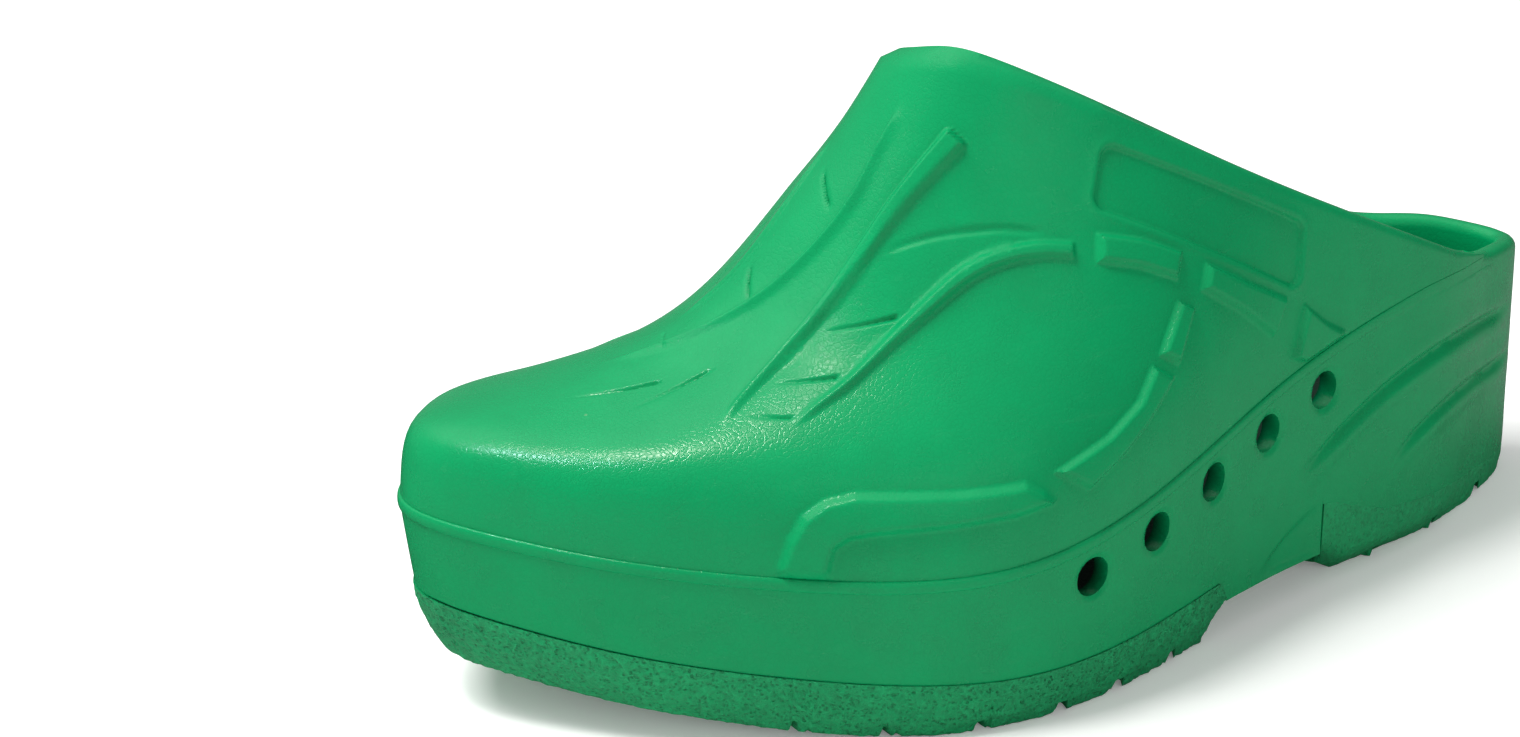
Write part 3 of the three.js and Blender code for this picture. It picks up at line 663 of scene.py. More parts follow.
def upper_points(section, place):
    """points of the upper shell, and whether each lies on a crisp edge of the ornament"""
    around, turn = np.mod(FINE_AROUND[section], 1), FINE_TURN[place]
    x = edge(around)[:, 0]
    parting = z_parting(x)
    bead_z = parting + bead_up(x)
    foot_z = bead_z + .012
    top = skin(around, np.ones_like(around))
    height = np.maximum(top[:, 2] - parting, .5)
    # level at which the skin reaches the foot's height
    foot_level = np.zeros_like(around)
    for _ in range(4):
        z = skin(around, foot_level)[:, 2]
        slope = np.maximum(skin(around, foot_level + .01)[:, 2] - z, 1e-3)
        foot_level = np.clip(foot_level + (foot_z - z) * .01 / slope, 0, .3)
    outside, rim, bottom = turn <= 1, (turn > 1) & (turn < 2), turn > 3
    inside = (turn >= 2) & ~bottom
    level = np.select([outside, rim, inside],
                      [foot_level + (1 - foot_level) * turn, np.ones_like(turn),
                       1 - (turn - 2) * (1 - foot_level)], foot_level)
    level = np.clip(level, 0, 1)
    base = skin(around, level)
    normal = skin_normal(around, np.clip(level, .004, .996))
    # depth below the skin, with a rounded rim and foot
    from_rim = np.linalg.norm(base - top, axis=1)
    from_foot = np.linalg.norm(base - skin(around, foot_level), axis=1)
    radius = np.minimum(RIM_RADIUS, .45 * height)
    rim_depth = radius * rounding(from_rim, radius)
    foot_depth = FOOT_RADIUS * rounding(from_foot, FOOT_RADIUS)
    depth = np.select([outside, rim, inside],
                      [rim_depth + foot_depth, radius + (WALL - 2 * radius) * (turn - 1),
                       WALL - rim_depth], WALL * (4 - turn))
    # inside, low down, the wall goes straight inwards
    slanted = smooth(base[:, 2], bead_z, bead_z + 9)[:, None]
    level_out = np.c_[plan_normal(around), np.zeros(len(around))]
    straight = normal * slanted + level_out * (1 - slanted)
    direction = unit(np.where((turn >= 2)[:, None], straight, normal))
    points = base - depth[:, None] * direction
    z = points[:, 2]
    lowest = foot_z + .25 * (base[:, 2] - foot_z)
    points[:, 2] = np.select([bottom, inside], [foot_z, np.maximum(z, lowest)], z)
    # ornament and unevenness outside
    crisp = np.zeros(len(around), bool)
    k = np.where(outside)[0]
    relief, border = ornament(base[k])
    fade = smooth(from_foot[k], 0, 2.6) * smooth(from_rim[k], 0, 3)
    points[k] += normal[k] * (relief * fade)[:, None]
    crisp[k] = border & (from_rim[k] > 2)
    uneven = normal[k] * unevenness(base[k], 22, 9)[:, None]
    points[k] += uneven * smooth(from_rim[k], 0, 6)[:, None] * smooth(from_foot[k], 0, 3)[:, None]
    return rim_drop(points), crisp


def refined_cells():
    """cells of the coarse grid that an edge of the ornament crosses"""
    section, place = np.meshgrid(np.arange(SECTIONS) * SPLIT + SPLIT // 2,
                                 np.arange(CELLS) * SPLIT + SPLIT // 2, indexing="ij")
    refined = np.zeros((SECTIONS, CELLS), bool)
    for i in (-2, 0, 2):
        for j in (-2, 0, 2):
            _, crisp = upper_points(np.clip((section + i).ravel(), 0, SECTIONS * SPLIT),
                                    np.mod((place + j).ravel(), RING))
            refined |= crisp.reshape(SECTIONS, CELLS)
    refined[:, OUT_CELLS:] = False
    refined[:, 0] = False
    refined[0], refined[-1] = False, False
    if refined.sum() > REFINED_CELLS:
        i, j = np.where(refined)
        refined[:] = False
        nearest = np.argsort(np.abs(i - REFINED_SECTION))[:REFINED_CELLS]
        refined[i[nearest], j[nearest]] = True
    return refined


def fine_index(section, place):
    return section * RING + np.mod(place, RING)


def square_faces(i, j, size):
    """two triangles for each square with its first corner at i, j"""
    first, second = fine_index(i, j), fine_index(i + size, j)
    third, fourth = fine_index(i + size, j + size), fine_index(i, j + size)
    return [np.c_[first, second, third], np.c_[first, third, fourth]]


def fan_faces(refined, beside):
    """coarse cells beside refined ones, fanned from their middles"""
    faces = []
    for i, j in zip(*np.where(~refined & beside.any(2))):
        low, left = i * SPLIT, j * SPLIT
        loop = []
        for side in range(4):
            for k in range(SPLIT) if beside[i, j, side] else (0,):
                corners = ((low + k, left), (low + SPLIT, left + k),
                           (low + SPLIT - k, left + SPLIT), (low, left + SPLIT - k))
                loop.append(fine_index(*corners[side]))
        middle = fine_index(low + SPLIT // 2, left + SPLIT // 2)
        faces += [(middle, loop[k], loop[(k + 1) % len(loop)]) for k in range(len(loop))]
    return np.array(faces).reshape(-1, 3)


def end_faces():
    """strips between the outside and the inside of the first and the last section"""
    faces = []
    for section, turned in ((0, True), (SECTIONS, False)):
        ring = [fine_index(section * SPLIT, j * SPLIT) for j in range(CELLS)]
        low, high = 0, CELLS - 1
        while high - low > 1:
            if (high - low) % 2:
                face = (ring[low], ring[high], ring[low + 1])
                low += 1
            else:
                face = (ring[low], ring[high], ring[high - 1])
                high -= 1
            faces.append((face[0], face[2], face[1]) if turned else face)
    return np.array(faces)


def build_upper():
    refined = refined_cells()
    # refined neighbours at j - 1, i + 1, j + 1, i - 1
    beside = np.zeros((SECTIONS, CELLS, 4), bool)
    beside[:, :, 0] = np.roll(refined, 1, 1)
    beside[:-1, :, 1] = refined[1:]
    beside[:, :, 2] = np.roll(refined, -1, 1)
    beside[1:, :, 3] = refined[:-1]
    faces = []
    i, j = np.where(refined)
    for k in range(SPLIT ** 2):
        faces += square_faces(i * SPLIT + k // SPLIT, j * SPLIT + k % SPLIT, 1)
    i, j = np.where(~refined & ~beside.any(2))
    faces += square_faces(i * SPLIT, j * SPLIT, SPLIT)
    faces += [fan_faces(refined, beside), end_faces()]
    used, faces = np.unique(np.concatenate(faces), return_inverse=True)
    points, _ = upper_points(used // RING, used % RING)
    return points, faces.reshape(-1, 3)


# ---- lower shell ---------------------------------------------------------------------
FORE_END_X, HEEL_FRONT_X = -19.0, -56.0    # ends of the two outsoles, the arch between them
ARCH_Z = 9.0
FORE_TAIL = 3.2                            # length over which the arch rises to the forefoot
FORE_END_Z = float(z_step(FORE_END_X))
# (x, value) rows: underside over the heel outsole, height of full inset and end of the fine
# rows on the wall, inset of the wall's foot, overhang of the bead
HEEL_TOP = [(-150, 6), (-131, 7), (-101, 10.8), (-88, 12.5), (-78, 14), (-70, 16.9), (-60, 20.9),
            (-56, 21.6)]
FULL_INSET_Z = [(-150, 6), (-131, 7), (-101, 10.8), (-80, 11.5), (-50, 9.2), (-30, 9.6),
                (FORE_END_X, FORE_END_Z)]
FINE_ROWS_Z = [(-150, 8), (-131, 9), (-101, 12.8), (-88, 14.8), (-78, 17), (-70, 20), (-62, 22.7),
               (-56, 23.3), (-48, 22), (-36, 18), (FORE_END_X, FORE_END_Z + 3)]
WALL_INSET = [(-70, .5), (0, 2.0)]
BEAD_REACH = [(-105, 0), (-60, .6), (-20, 1)]
# bead's section: height above its foot, share of its reach
BEAD = [(.08, .30), (.28, .62), (.60, .88), (1.1, 1.0), (1.7, 1.0), (2.2, .88), (2.55, .62),
        (2.76, .34)]
WALL_ROWS, FINE_ROWS = 80, 17
# (x, z) of lines on the heel wall, and of the border of a sunk field under the arch's wall
UPPER_LINE = [(-46.1, 30), (-54.4, 35.6), (-62, 38.6), (-71, 42.1), (-82.9, 45.9), (-91, 48.4),
              (-103.2, 48.8), (-119.2, 46.9), (-134.9, 45.4)]
LOWER_LINE = [(-79.2, 23.6), (-87.3, 28.7), (-98.5, 32.6), (-112.9, 33), (-126.2, 32.7),
              (-139.8, 31.8)]
LEDGE = [(-59, 22.2), (-55, 21.8), (-50, 20.3), (-42, 16.8), (-34, 12.0)]
# round vents through the outer wall
VENT_RADIUS, VENT_DROP = 4.5, 9.3          # the drop is from the parting line
VENT_X = [25.1, 5.1, -15.0, -35.0, -54.8]


def vent(x):
    """centre of a vent on the parting line's upright wall, and its outward direction"""
    around = np.array([around_at(x)])
    point = edge(around)[0]
    return (np.r_[point, z_parting(point[0]) - VENT_DROP], np.r_[plan_normal(around)[0], 0.0])


VENTS = [vent(x) for x in VENT_X]


def z_under(x):
    """height of the underside: forefoot, arch, heel"""
    fore = np.clip((x - FORE_END_X + FORE_TAIL) / FORE_TAIL, 0, 1)
    heel = np.clip((HEEL_FRONT_X + .06 - x) / .04, 0, 1)
    return ARCH_Z * (1 - fore) * (1 - heel) + z_step(x) * fore + lookup(x, HEEL_TOP) * heel


def above_line(x, z, line, degree):
    """height over a smooth line fitted through the points"""
    rows = np.array(line, float)
    fit = np.polyfit((rows[:, 0] + 90) / 50, rows[:, 1], degree)
    x = np.clip(x, rows[:, 0].min() - 3, rows[:, 0].max() + 3)
    return z - np.polyval(fit, (x + 90) / 50)


def line_fade(x, line, front):
    """strength of a line, which fades out at both ends"""
    rear_x, front_x = min(line)[0], max(line)[0]
    return smooth(x, rear_x - 6, rear_x + 8) * (1 - smooth(x, front_x - front, front_x + 2))


def wall_relief(x, z):
    """two sunk lines with a raised strip below and above each, and the ledge"""
    def wave(offset, height, middle, width):
        return height * np.exp(-((offset - middle) / width) ** 2)

    relief = np.zeros_like(x)
    off = above_line(x, z, UPPER_LINE, degree=4)
    relief += line_fade(x, UPPER_LINE, front=16) * (
        wave(off, -1.30, 0, 1.5) + wave(off, .62, -3.7, 2.6) + wave(off, .34, 3.5, 3.2))
    off = above_line(x, z, LOWER_LINE, degree=3)
    relief += line_fade(x, LOWER_LINE, front=14) * (
        wave(off, -1.15, 0, 1.45) + wave(off, .50, -3.3, 2.4) + wave(off, .30, 3.1, 2.8))
    off = above_line(x, z, LEDGE, degree=3)
    ledge = -.75 * (1 - ease(off, -2.0, 1.6))
    return relief + ledge * smooth(x, -57.5, -51) * (1 - smooth(x, -41, -32))


def build_lower():
    # exact stations at the upper's end and at the steps of the underside
    exact = [END_X - .03, END_X - .10, END_X - .5, HEEL_FRONT_X + .06, HEEL_FRONT_X + .02,
             FORE_END_X - FORE_TAIL, FORE_END_X]
    free = [x for x in stations(HEEL_X, TOE_X, .85) if min(abs(x - end) for end in exact) > .3]
    ring = ring_around(np.array(sorted(free + exact, reverse=True)))
    outline, normal = edge(ring), plan_normal(ring)
    x = outline[:, 0]
    parting = z_parting(x)
    collar_z = skin(ring, np.ones(len(ring)))[:, 2]
    heel = ~(x > END_X - .06)              # open rim, with no upper on it
    bead_top = parting + bead_up(x)
    top = np.where(heel, np.maximum(collar_z, parting), bead_top - .012)
    under = z_under(x)
    full_inset = np.where(x > FORE_END_X, z_step(x), lookup(x, FULL_INSET_Z))
    fine_top = np.where(x > FORE_END_X, under + 3, lookup(x, FINE_ROWS_Z))
    bead_foot = bead_top - 2.6 - .35
    rim_foot = top - RIM_RADIUS
    rows = []

    def add_below_rim(points, limit):
        """adds a row, on the heel kept below the rim's rounding"""
        z = points[:, 2]
        points[:, 2] = np.where(heel, np.minimum(z, limit), z)
        rows.append(points)

    # outside, from the foot of the wall up to the bead
    for k in range(WALL_ROWS + 1):
        if k <= FINE_ROWS:
            z = under + (fine_top - under) * k / FINE_ROWS
        else:
            z = fine_top + (bead_foot - fine_top) * (k - FINE_ROWS) / (WALL_ROWS - FINE_ROWS)
        share = np.clip((bead_foot - z) / (bead_foot - full_inset), 0, 1.05)
        depth = lookup(x, WALL_INSET) * share ** 1.1
        from_foot = z - under
        depth = depth + .08 * .4 * rounding(from_foot, .08)
        points = inset(ring, depth, z)
        relief = wall_relief(x, z) * smooth(from_foot, 0, 2) * smooth(bead_foot - z, 0, 3)
        # soft rounding at the vents' edges
        for centre, _ in VENTS:
            flat = np.hypot(x - centre[0], outline[:, 1] - centre[1])
            radius = np.hypot(flat, z - centre[2])
            near = np.clip(1 - (radius - VENT_RADIUS) / 1.9, 0, 1)
            relief = relief - (ring < HEEL) * .75 * near ** 1.8
        relief = relief + unevenness(points, 26, 10) * smooth(z - full_inset, 0, 3)
        points[:, :2] += normal * relief[:, None]
        add_below_rim(points, rim_foot - .4 - (WALL_ROWS - k) * .05)
    reach = .58 * lookup(x, BEAD_REACH)
    for k, (rise, share) in enumerate(BEAD):
        z = np.minimum(bead_foot + rise * (top - bead_foot) / 2.83, top)
        add_below_rim(inset(ring, -reach * share, z), rim_foot - (len(BEAD) - k) * .04)
    # over the top: flat under the upper, rounded on the heel rim
    for angle in np.linspace(0, np.pi, 11):
        if angle < np.pi / 2:
            rim_depth = RIM_RADIUS * (1 - np.cos(angle))
        else:
            rim_depth = WALL - RIM_RADIUS * (1 + np.cos(angle))
        depth = np.where(heel, rim_depth, .1 + (WALL - .1) * (angle / np.pi))
        z = np.where(heel, rim_foot + RIM_RADIUS * np.sin(angle), top)
        rows.append(inset(ring, depth, z))
    # inside down to the floor
    inner_top = rows[-1][:, 2]
    for share in np.linspace(0, 1, 11)[1:]:
        points = inset(ring, WALL, 0)
        points[:, 2] = inner_top + (z_floor(points[:, 0]) - inner_top) * share
        rows.append(points)
    points, faces = close_rows(rows, z_under, z_floor, cells=6)
    return rim_drop(points), faces


def vent_tool(centre, outward):
    """cylinder that cuts one vent"""
    angle = np.linspace(0, 2 * np.pi, 64, endpoint=False)
    across, upward = np.array([-outward[1], outward[0], 0.0]), np.array([0, 0, 1.0])
    circle = VENT_RADIUS * (np.cos(angle)[:, None] * across + np.sin(angle)[:, None] * upward)
    outer, inner = centre + 6 * outward, centre - 11 * outward
    points = np.concatenate([outer + circle, inner + circle, [outer], [inner]]) / 1000
    faces = []
    for i in range(64):
        j = (i + 1) % 64
        faces += [(i, 64 + i, 64 + j), (i, 64 + j, j), (128, i, j), (129, 64 + j, 64 + i)]
    mesh = bpy.data.meshes.new("vent_tool")
    mesh.from_pydata(points.tolist(), [], faces)
    mesh.update()
    tool = bpy.data.objects.new("vent_tool", mesh)
    bpy.context.scene.collection.objects.link(tool)
    return tool


def drill_vents(shell):
    tools = []
    for centre, outward in VENTS:
        tools.append(vent_tool(centre, outward))
        cut = shell.modifiers.new("vent", "BOOLEAN")
        cut.operation = "DIFFERENCE"
        cut.object = tools[-1]
        cut.solver = "MANIFOLD"
    graph = bpy.context.evaluated_depsgraph_get()
    drilled = bpy.data.meshes.new_from_object(shell.evaluated_get(graph))
    shell.modifiers.clear()
    plain = shell.data
    shell.data = drilled
    bpy.data.meshes.remove(plain)
    for tool in tools:
        mesh = tool.data
        bpy.data.objects.remove(tool)
        bpy.data.meshes.remove(mesh)
    shade_smooth(drilled, 40)


def paint_vent_shade(shell):
    """vertex attribute of painted shade in the vents: 0 at a vent's mouth, 1 inside the wall"""
    count = len(shell.data.vertices)
    points = np.zeros(count * 3, np.float32)
    shell.data.vertices.foreach_get("co", points)
    points = points.reshape(-1, 3).astype(float) * 1000
    deep = np.zeros(count)
    for centre, outward in VENTS:
        x, y, z = (points - centre).T
        along = x * outward[0] + y * outward[1]
        radius = np.hypot(x * -outward[1] + y * outward[0], z)
        hole = (radius < VENT_RADIUS + .06) * (along > -9) * smooth(-along, .9, 3.8)
        # the wall's inner face round the hole gets painted shade as well
        back = smooth(-along, 4.2, 5.2) * (along > -9) * (1 - smooth(radius, 6, 14)) * .8
        deep = np.maximum(np.maximum(deep, hole), back)
    attribute = shell.data.attributes.new("deep", "FLOAT", "POINT")
    attribute.data.foreach_set("value", deep.astype(np.float32))


# ---- outsoles ------------------------------------------------------------------------
# x of the cross grooves
FORE_GROOVES = [88.3, 71.2, 51.5, 31.2, 13.9, -4.5]
HEEL_GROOVES = [-80, -103, -126]
GROOVE_DEPTH, CHANNEL_DEPTH = 3.0, 1.8
GROOVE_STATIONS = (-2.3, -2.0, -1.7, -1.35, 1.35, 1.7, 2.0, 2.3)   # from a groove's middle
TREAD_CLEARANCE = .015                     # below the lower shell
# (x, inset) at the top and at the ground
SOLE_TOP_INSET = [(-70, .5), (0, 1.7)]
GROUND_INSET = [(-148, 1.2), (-121, 1.5), (-108, 3.4), (-96, 5.0), (-87, 6.4), (-56, 7.6),
                (-20, 4.9), (85, 5.2), (140, 8.5)]
# share of the ground inset against the height: as a share in front, in mm on the heel
FORE_TAPER = [(0, 1), (.05, .86), (.12, .75), (.30, .48), (.55, .25), (.8, .08), (1, 0)]
HEEL_TAPER = [(0, 1), (.7, .86), (1.5, .7), (3, .42), (4.6, .20), (6.5, .04), (9, 0)]
# (x, z) of the bottom where it leaves the ground, and the gap over the forefoot's rear end
TOE_SPRING = [(60, 0), (75, .9), (88, 2.4), (100, 4.3), (115, 7), (130, 10), (148, 13.5)]
FORE_REAR = [(-22.2, 7.0), (-15, 0)]
HEEL_BREAST = [(-66, 0), (-56, 5.5)]
FORE_TOP_GAP = [(-19, .2), (-15, 0)]
TREAD_CELLS, TOP_CELLS = 64, 8
TREAD_SHARES = np.r_[np.linspace(1, .12, 24), .08, .045, .02, 0]   # rows of the wall, top down


def across(outer, inner, share):
    """rows of points between two lines"""
    return outer[None] * (1 - share)[:, None, None] + inner[None] * share[:, None, None]


def build_tread(front, x_end, z_top, z_ground, grooves, roughness):
    """an outsole from the toe or the heel to its straight end at x_end"""
    x = stations(x_end, TOE_X, .62) if front else stations(HEEL_X, x_end, .62)
    extra = [groove + offset for groove in grooves for offset in GROOVE_STATIONS]
    x = np.array(sorted(set(np.round(np.r_[x, extra], 3)), reverse=True))
    x = x[np.r_[True, -np.diff(x) > .12]]
    sides = [around_at(x), around_at(x, False)]
    sides = [np.r_[0, side] if front else np.r_[side, HEEL] for side in sides]
    count = len(sides[0])

    def roof_z(x):
        return z_top(x) - TREAD_CLEARANCE

    def groove_height(x):
        height = np.zeros_like(x)
        for groove in grooves:
            depth = GROOVE_DEPTH * (1 - ease(np.abs(x - groove), 1.2, 2.3))
            height = np.maximum(height, depth)
        return height

    def wall_row(around, share):
        x = edge(around)[:, 0]
        roof, ground, groove = roof_z(x), z_ground(x), groove_height(x)
        z = ground + groove + (roof - ground - groove) * share
        if front:
            taper = lookup((z - ground) / np.maximum(roof - ground, .1), FORE_TAPER)
        else:
            taper = lookup(z - ground, HEEL_TAPER)
        top_inset = lookup(x, SOLE_TOP_INSET)
        depth = top_inset + (lookup(x, GROUND_INSET) - top_inset) * taper
        points = inset(around, depth + .03 * rounding(roof - z, .1), 0)
        roof, ground = roof_z(points[:, 0]), z_ground(points[:, 0])
        points[:, 2] = ground + groove + (roof - ground - groove) * share
        rough = roughness * (.30 * noise(points, 1.3) + .22 * noise(points + 31, 2.7)
                             + .22 * noise(points + 77, .8))
        rough = rough * smooth(roof - points[:, 2], .05, .9)
        rough = np.minimum(rough + .05 * roughness, .35)
        points[:, :2] += plan_normal(around) * rough[:, None]
        return points

    outer, inner = [np.array([wall_row(side, k) for k in TREAD_SHARES]) for side in sides]
    share = np.linspace(0, 1, TREAD_CELLS + 1)
    # tread blocks: cross grooves, and shallow lengthwise channels between them
    bottom = across(outer[-1], inner[-1], share)
    x, y = bottom[..., 0], bottom[..., 1]
    half_width = np.abs(outer[-1][:, 1] - inner[-1][:, 1])[None] / 2
    middle = (outer[-1][:, 1] + inner[-1][:, 1])[None] / 2
    channel = np.zeros_like(x)
    for place in (-.36, .36):
        distance = np.abs((y - middle) - place * 2 * half_width * .62)
        channel = np.maximum(channel, CHANNEL_DEPTH * (1 - ease(distance, .8, 1.9)))
    fade = smooth(np.minimum(share, 1 - share), .02, .06)[:, None]
    channel = channel * smooth(half_width * 2, 26, 40) * fade
    bottom[..., 2] = z_ground(x) + np.maximum(groove_height(x), channel)
    grain = np.abs(noise(bottom[1:-1].reshape(-1, 3), 1.6).reshape(TREAD_CELLS - 1, count))
    bottom[1:-1, :, 2] += grain * .22 * roughness
    bottom[0], bottom[-1] = outer[-1], inner[-1]
    step = TREAD_CELLS // TOP_CELLS
    top = across(outer[0], inner[0], share[::step])
    top[1:-1, :, 2] = roof_z(top[1:-1, :, 0])
    loop = np.concatenate([outer, bottom[1:-1], inner[::-1], top[1:-1][::-1]], 0)
    # cap at the straight end: a sheet inside the section's outline
    end = count - 1 if front else 0
    cap = np.array([across(*rows, share)[:, end] for rows in zip(outer[1:], inner[1:])])
    cap[-1] = bottom[:, end]
    points = [loop.transpose(1, 0, 2).reshape(-1, 3), cap.reshape(-1, 3), top[:, end]]
    cap_start = len(points[0])
    top_start = cap_start + len(points[1])
    # the top edge has fewer points: its strip is fanned
    strip = []
    for i in range(TOP_CELLS):
        first = cap_start + i * step
        for j in range(step):
            strip.append((top_start + i, first + j, first + j + 1))
        strip.append((top_start + i, first + step, top_start + i + 1))
    cap_faces = grid_faces(len(cap), TREAD_CELLS + 1, flip=front) + cap_start
    strip = np.array(strip) if front else np.array(strip)[:, ::-1]
    faces = [grid_faces(count, loop.shape[0], wrap=True), cap_faces, strip]
    return np.concatenate(points), np.concatenate(faces)


def fore_top(x):
    return z_under(x) - lookup(x, FORE_TOP_GAP)


def fore_ground(x):
    return np.maximum(lookup(x, TOE_SPRING), lookup(x, FORE_REAR))


# ---- insole and its cover ------------------------------------------------------------
INSOLE_HEIGHT, COVER_HEIGHT = 4.0, 1.2


def build_sheet(depth, lift, height, dish, edge_radius):
    """a sheet over the floor with a rounded edge, set in by depth"""
    def z_low(x):
        return z_floor(x) + lift

    def z_high(x):
        return z_floor(x) + (lift + height)

    ring = ring_around(stations(HEEL_X, TOE_X, 1.3))
    rows = []
    for share in np.linspace(0, 1, 9):
        angle = share * np.pi
        points = inset(ring, depth + edge_radius * (1 - np.sin(angle)), 0)
        x = points[:, 0]
        points[:, 2] = z_low(x) + (z_high(x) - z_low(x)) * (1 - np.cos(angle)) / 2
        rows.append(points)
    return close_rows(rows, z_low, z_high, cells=46, dish=dish)


# ---- materials -----------------------------------------------------------------------
class Shader:
    """short ways to add and link the nodes of one tree"""
    def __init__(self, tree):
        self.tree = tree

    def put(self, socket, value):
        """links or sets an input"""
        if isinstance(value, bpy.types.NodeSocket):
            self.tree.links.new(value, socket)
        elif socket.type == "RGBA" and len(value) == 3:
            socket.default_value = value + (1,)
        else:
            socket.default_value = value

    def node(self, kind, *inputs, **named):
        """inputs in order; named ones are inputs, with _ for a space, or settings"""
        made = self.tree.nodes.new("ShaderNode" + kind)
        for name, value in named.items():
            label = name.replace("_", " ")
            if label in made.inputs:
                self.put(made.inputs[label], value)
            else:
                setattr(made, name, value)
        for socket, value in zip(made.inputs, inputs):
            self.put(socket, value)
        return made

    def use_object_position(self):
        self.position = self.node("TexCoord").outputs["Object"]

    def noise(self, scale, detail=2.0, roughness=.5, at=None):
        return self.node("TexNoise", Vector=at or self.position, Scale=scale, Detail=detail,
                         Roughness=roughness).outputs["Fac"]

    def voronoi(self, scale, at=None, **settings):
        made = self.node("TexVoronoi", Vector=at or self.position, Scale=scale, **settings)
        return made.outputs["Distance"]

    def warped(self, scale, amount):
        """position shaken by noise"""
        shake = self.node("TexNoise", Vector=self.position, Scale=scale, Detail=2.0)
        return self.node("VectorMath", shake.outputs["Color"], (amount,) * 3, self.position,
                         operation="MULTIPLY_ADD").outputs[0]

    def remap(self, value, source, to):
        return self.node("MapRange", Value=value, From_Min=source[0], From_Max=source[1],
                         To_Min=to[0], To_Max=to[1]).outputs["Result"]

    def math(self, operation, first, second):
        return self.node("Math", first, second, operation=operation).outputs[0]

    def mix(self, factor, first, second):
        made = self.node("Mix", factor, data_type="RGBA", blend_type="MIX")
        self.put(made.inputs[6], first)
        self.put(made.inputs[7], second)
        return made.outputs[2]

    def bump(self, height, distance, strength, normal=None):
        made = self.node("Bump", Distance=distance, Strength=strength, Height=height)
        if normal is not None:
            self.put(made.inputs["Normal"], normal)
        return made.outputs["Normal"]


def new_material(name):
    material = bpy.data.materials.new(name)
    material.use_nodes = True
    material.node_tree.nodes.clear()
    return material, Shader(material.node_tree)


def shade(color, share):
    return tuple(channel * share for channel in color)


def moulded(name, color, dark, roughness):
    """satin moulded rubber with a leather-like grain, scuffs and pale specks, and painted shade in the
    vents
    """
    material, shader = new_material(name)
    shader.use_object_position()
    cells = shader.voronoi(900, at=shader.warped(160, amount=.0022), feature="DISTANCE_TO_EDGE")
    fine = shader.noise(1500, detail=3.0, roughness=.6)
    broad = shader.noise(22, detail=3.0, roughness=.55)
    medium = shader.noise(95, detail=4.0, roughness=.6)
    tone = shader.mix(shader.remap(broad, source=(.35, .65), to=(0.0, 1.0)), color, dark)
    tone = shader.mix(shader.remap(medium, source=(.3, .7), to=(0.0, .35)), tone, shade(dark, .82))
    seams = shader.remap(cells, source=(0.0, .10), to=(.10, 0.0))
    tone = shader.mix(seams, tone, shade(dark, .55))
    # specks
    dots = shader.remap(shader.voronoi(62), source=(.018, .030), to=(1.0, 0.0))
    few = shader.remap(shader.noise(30), source=(.60, .63), to=(0.0, 1.0))
    specks = shader.math("MULTIPLY", shader.math("MULTIPLY", dots, few), .65)
    tone = shader.mix(specks, tone, (.55, .60, .38))
    # scuffs: slightly duller streaks
    streaks = shader.node("Mapping", Vector=shader.position, Scale=(1.0, 4.5, 6.0),
                          Rotation=(.3, .5, .4)).outputs[0]
    scuffs = shader.noise(60, detail=5.0, roughness=.65, at=streaks)
    scuffs = shader.remap(scuffs, source=(.58, .72), to=(0.0, 1.0))
    tone = shader.mix(shader.math("MULTIPLY", scuffs, .03), tone, (.10, .42, .22))
    # painted shade inside the vents: near black, with less reflection
    deep = shader.node("Attribute", attribute_name="deep").outputs["Fac"]
    vents = shader.remap(deep, source=(0.0, 1.0), to=(0.0, .93))
    tone = shader.mix(vents, tone, (.0006, .020, .010))
    dullness = shader.remap(medium, source=(.3, .7), to=(roughness - .035, roughness + .035))
    dullness = shader.math("ADD", dullness, shader.math("MULTIPLY", scuffs, .02))
    relief = shader.bump(medium, distance=.00010, strength=.8)
    grain = shader.remap(cells, source=(0.0, .16), to=(0.0, 1.0))
    relief = shader.bump(grain, distance=.000024, strength=.9, normal=relief)
    relief = shader.bump(fine, distance=.00002, strength=.8, normal=relief)
    # the reflection is turned down where the vents have painted shade
    gloss = shader.remap(deep, source=(0.0, .8), to=(.5, 0.0))
    surface = shader.node("BsdfPrincipled", Base_Color=tone, Roughness=dullness, Normal=relief,
                          IOR=1.47, Specular_IOR_Level=gloss)
    shader.node("OutputMaterial", surface.outputs[0])
    return material


def pitted(name, color, dark, depth):
    """rough cellular rubber of the outsoles, with painted shade in its hollows and pits and a painted
    highlight on its crests
    """
    material, shader = new_material(name)
    shader.use_object_position()
    pits = shader.voronoi(1050, at=shader.warped(380, amount=.0014))
    pits = shader.remap(pits, source=(.12, .42), to=(0.0, 1.0))
    lumps = shader.noise(800, detail=4.0, roughness=.7)
    broad = shader.noise(45, detail=3.0)
    tone = shader.mix(shader.remap(broad, source=(.3, .7), to=(0.0, 1.0)), color, dark)
    # painted shade in the low places of the lumps and a painted highlight on their tops
    hollow_painted_shade = shader.remap(lumps, source=(.30, .60), to=(.60, 0.0))
    tone = shader.mix(hollow_painted_shade, tone, shade(dark, .60))
    crest_painted_highlight = shader.remap(lumps, source=(.58, .78), to=(0.0, .55))
    tone = shader.mix(crest_painted_highlight, tone, (.030, .40, .17))
    # painted shade in the pits, darker for deeper pits
    pit_painted_shade = shader.remap(pits, source=(0.0, 1.0), to=(.45 * min(1.0, .4 + depth), 0.0))
    tone = shader.mix(pit_painted_shade, tone, shade(dark, .45))
    relief = shader.bump(lumps, distance=.0009 * depth, strength=1.0)
    relief = shader.bump(pits, distance=.0003 * depth, strength=.9, normal=relief)
    dullness = shader.remap(lumps, source=(.3, .7), to=(.62, .8))
    surface = shader.node("BsdfPrincipled", Base_Color=tone, Roughness=dullness, Normal=relief,
                          IOR=1.45)
    shader.node("OutputMaterial", surface.outputs[0])
    return material


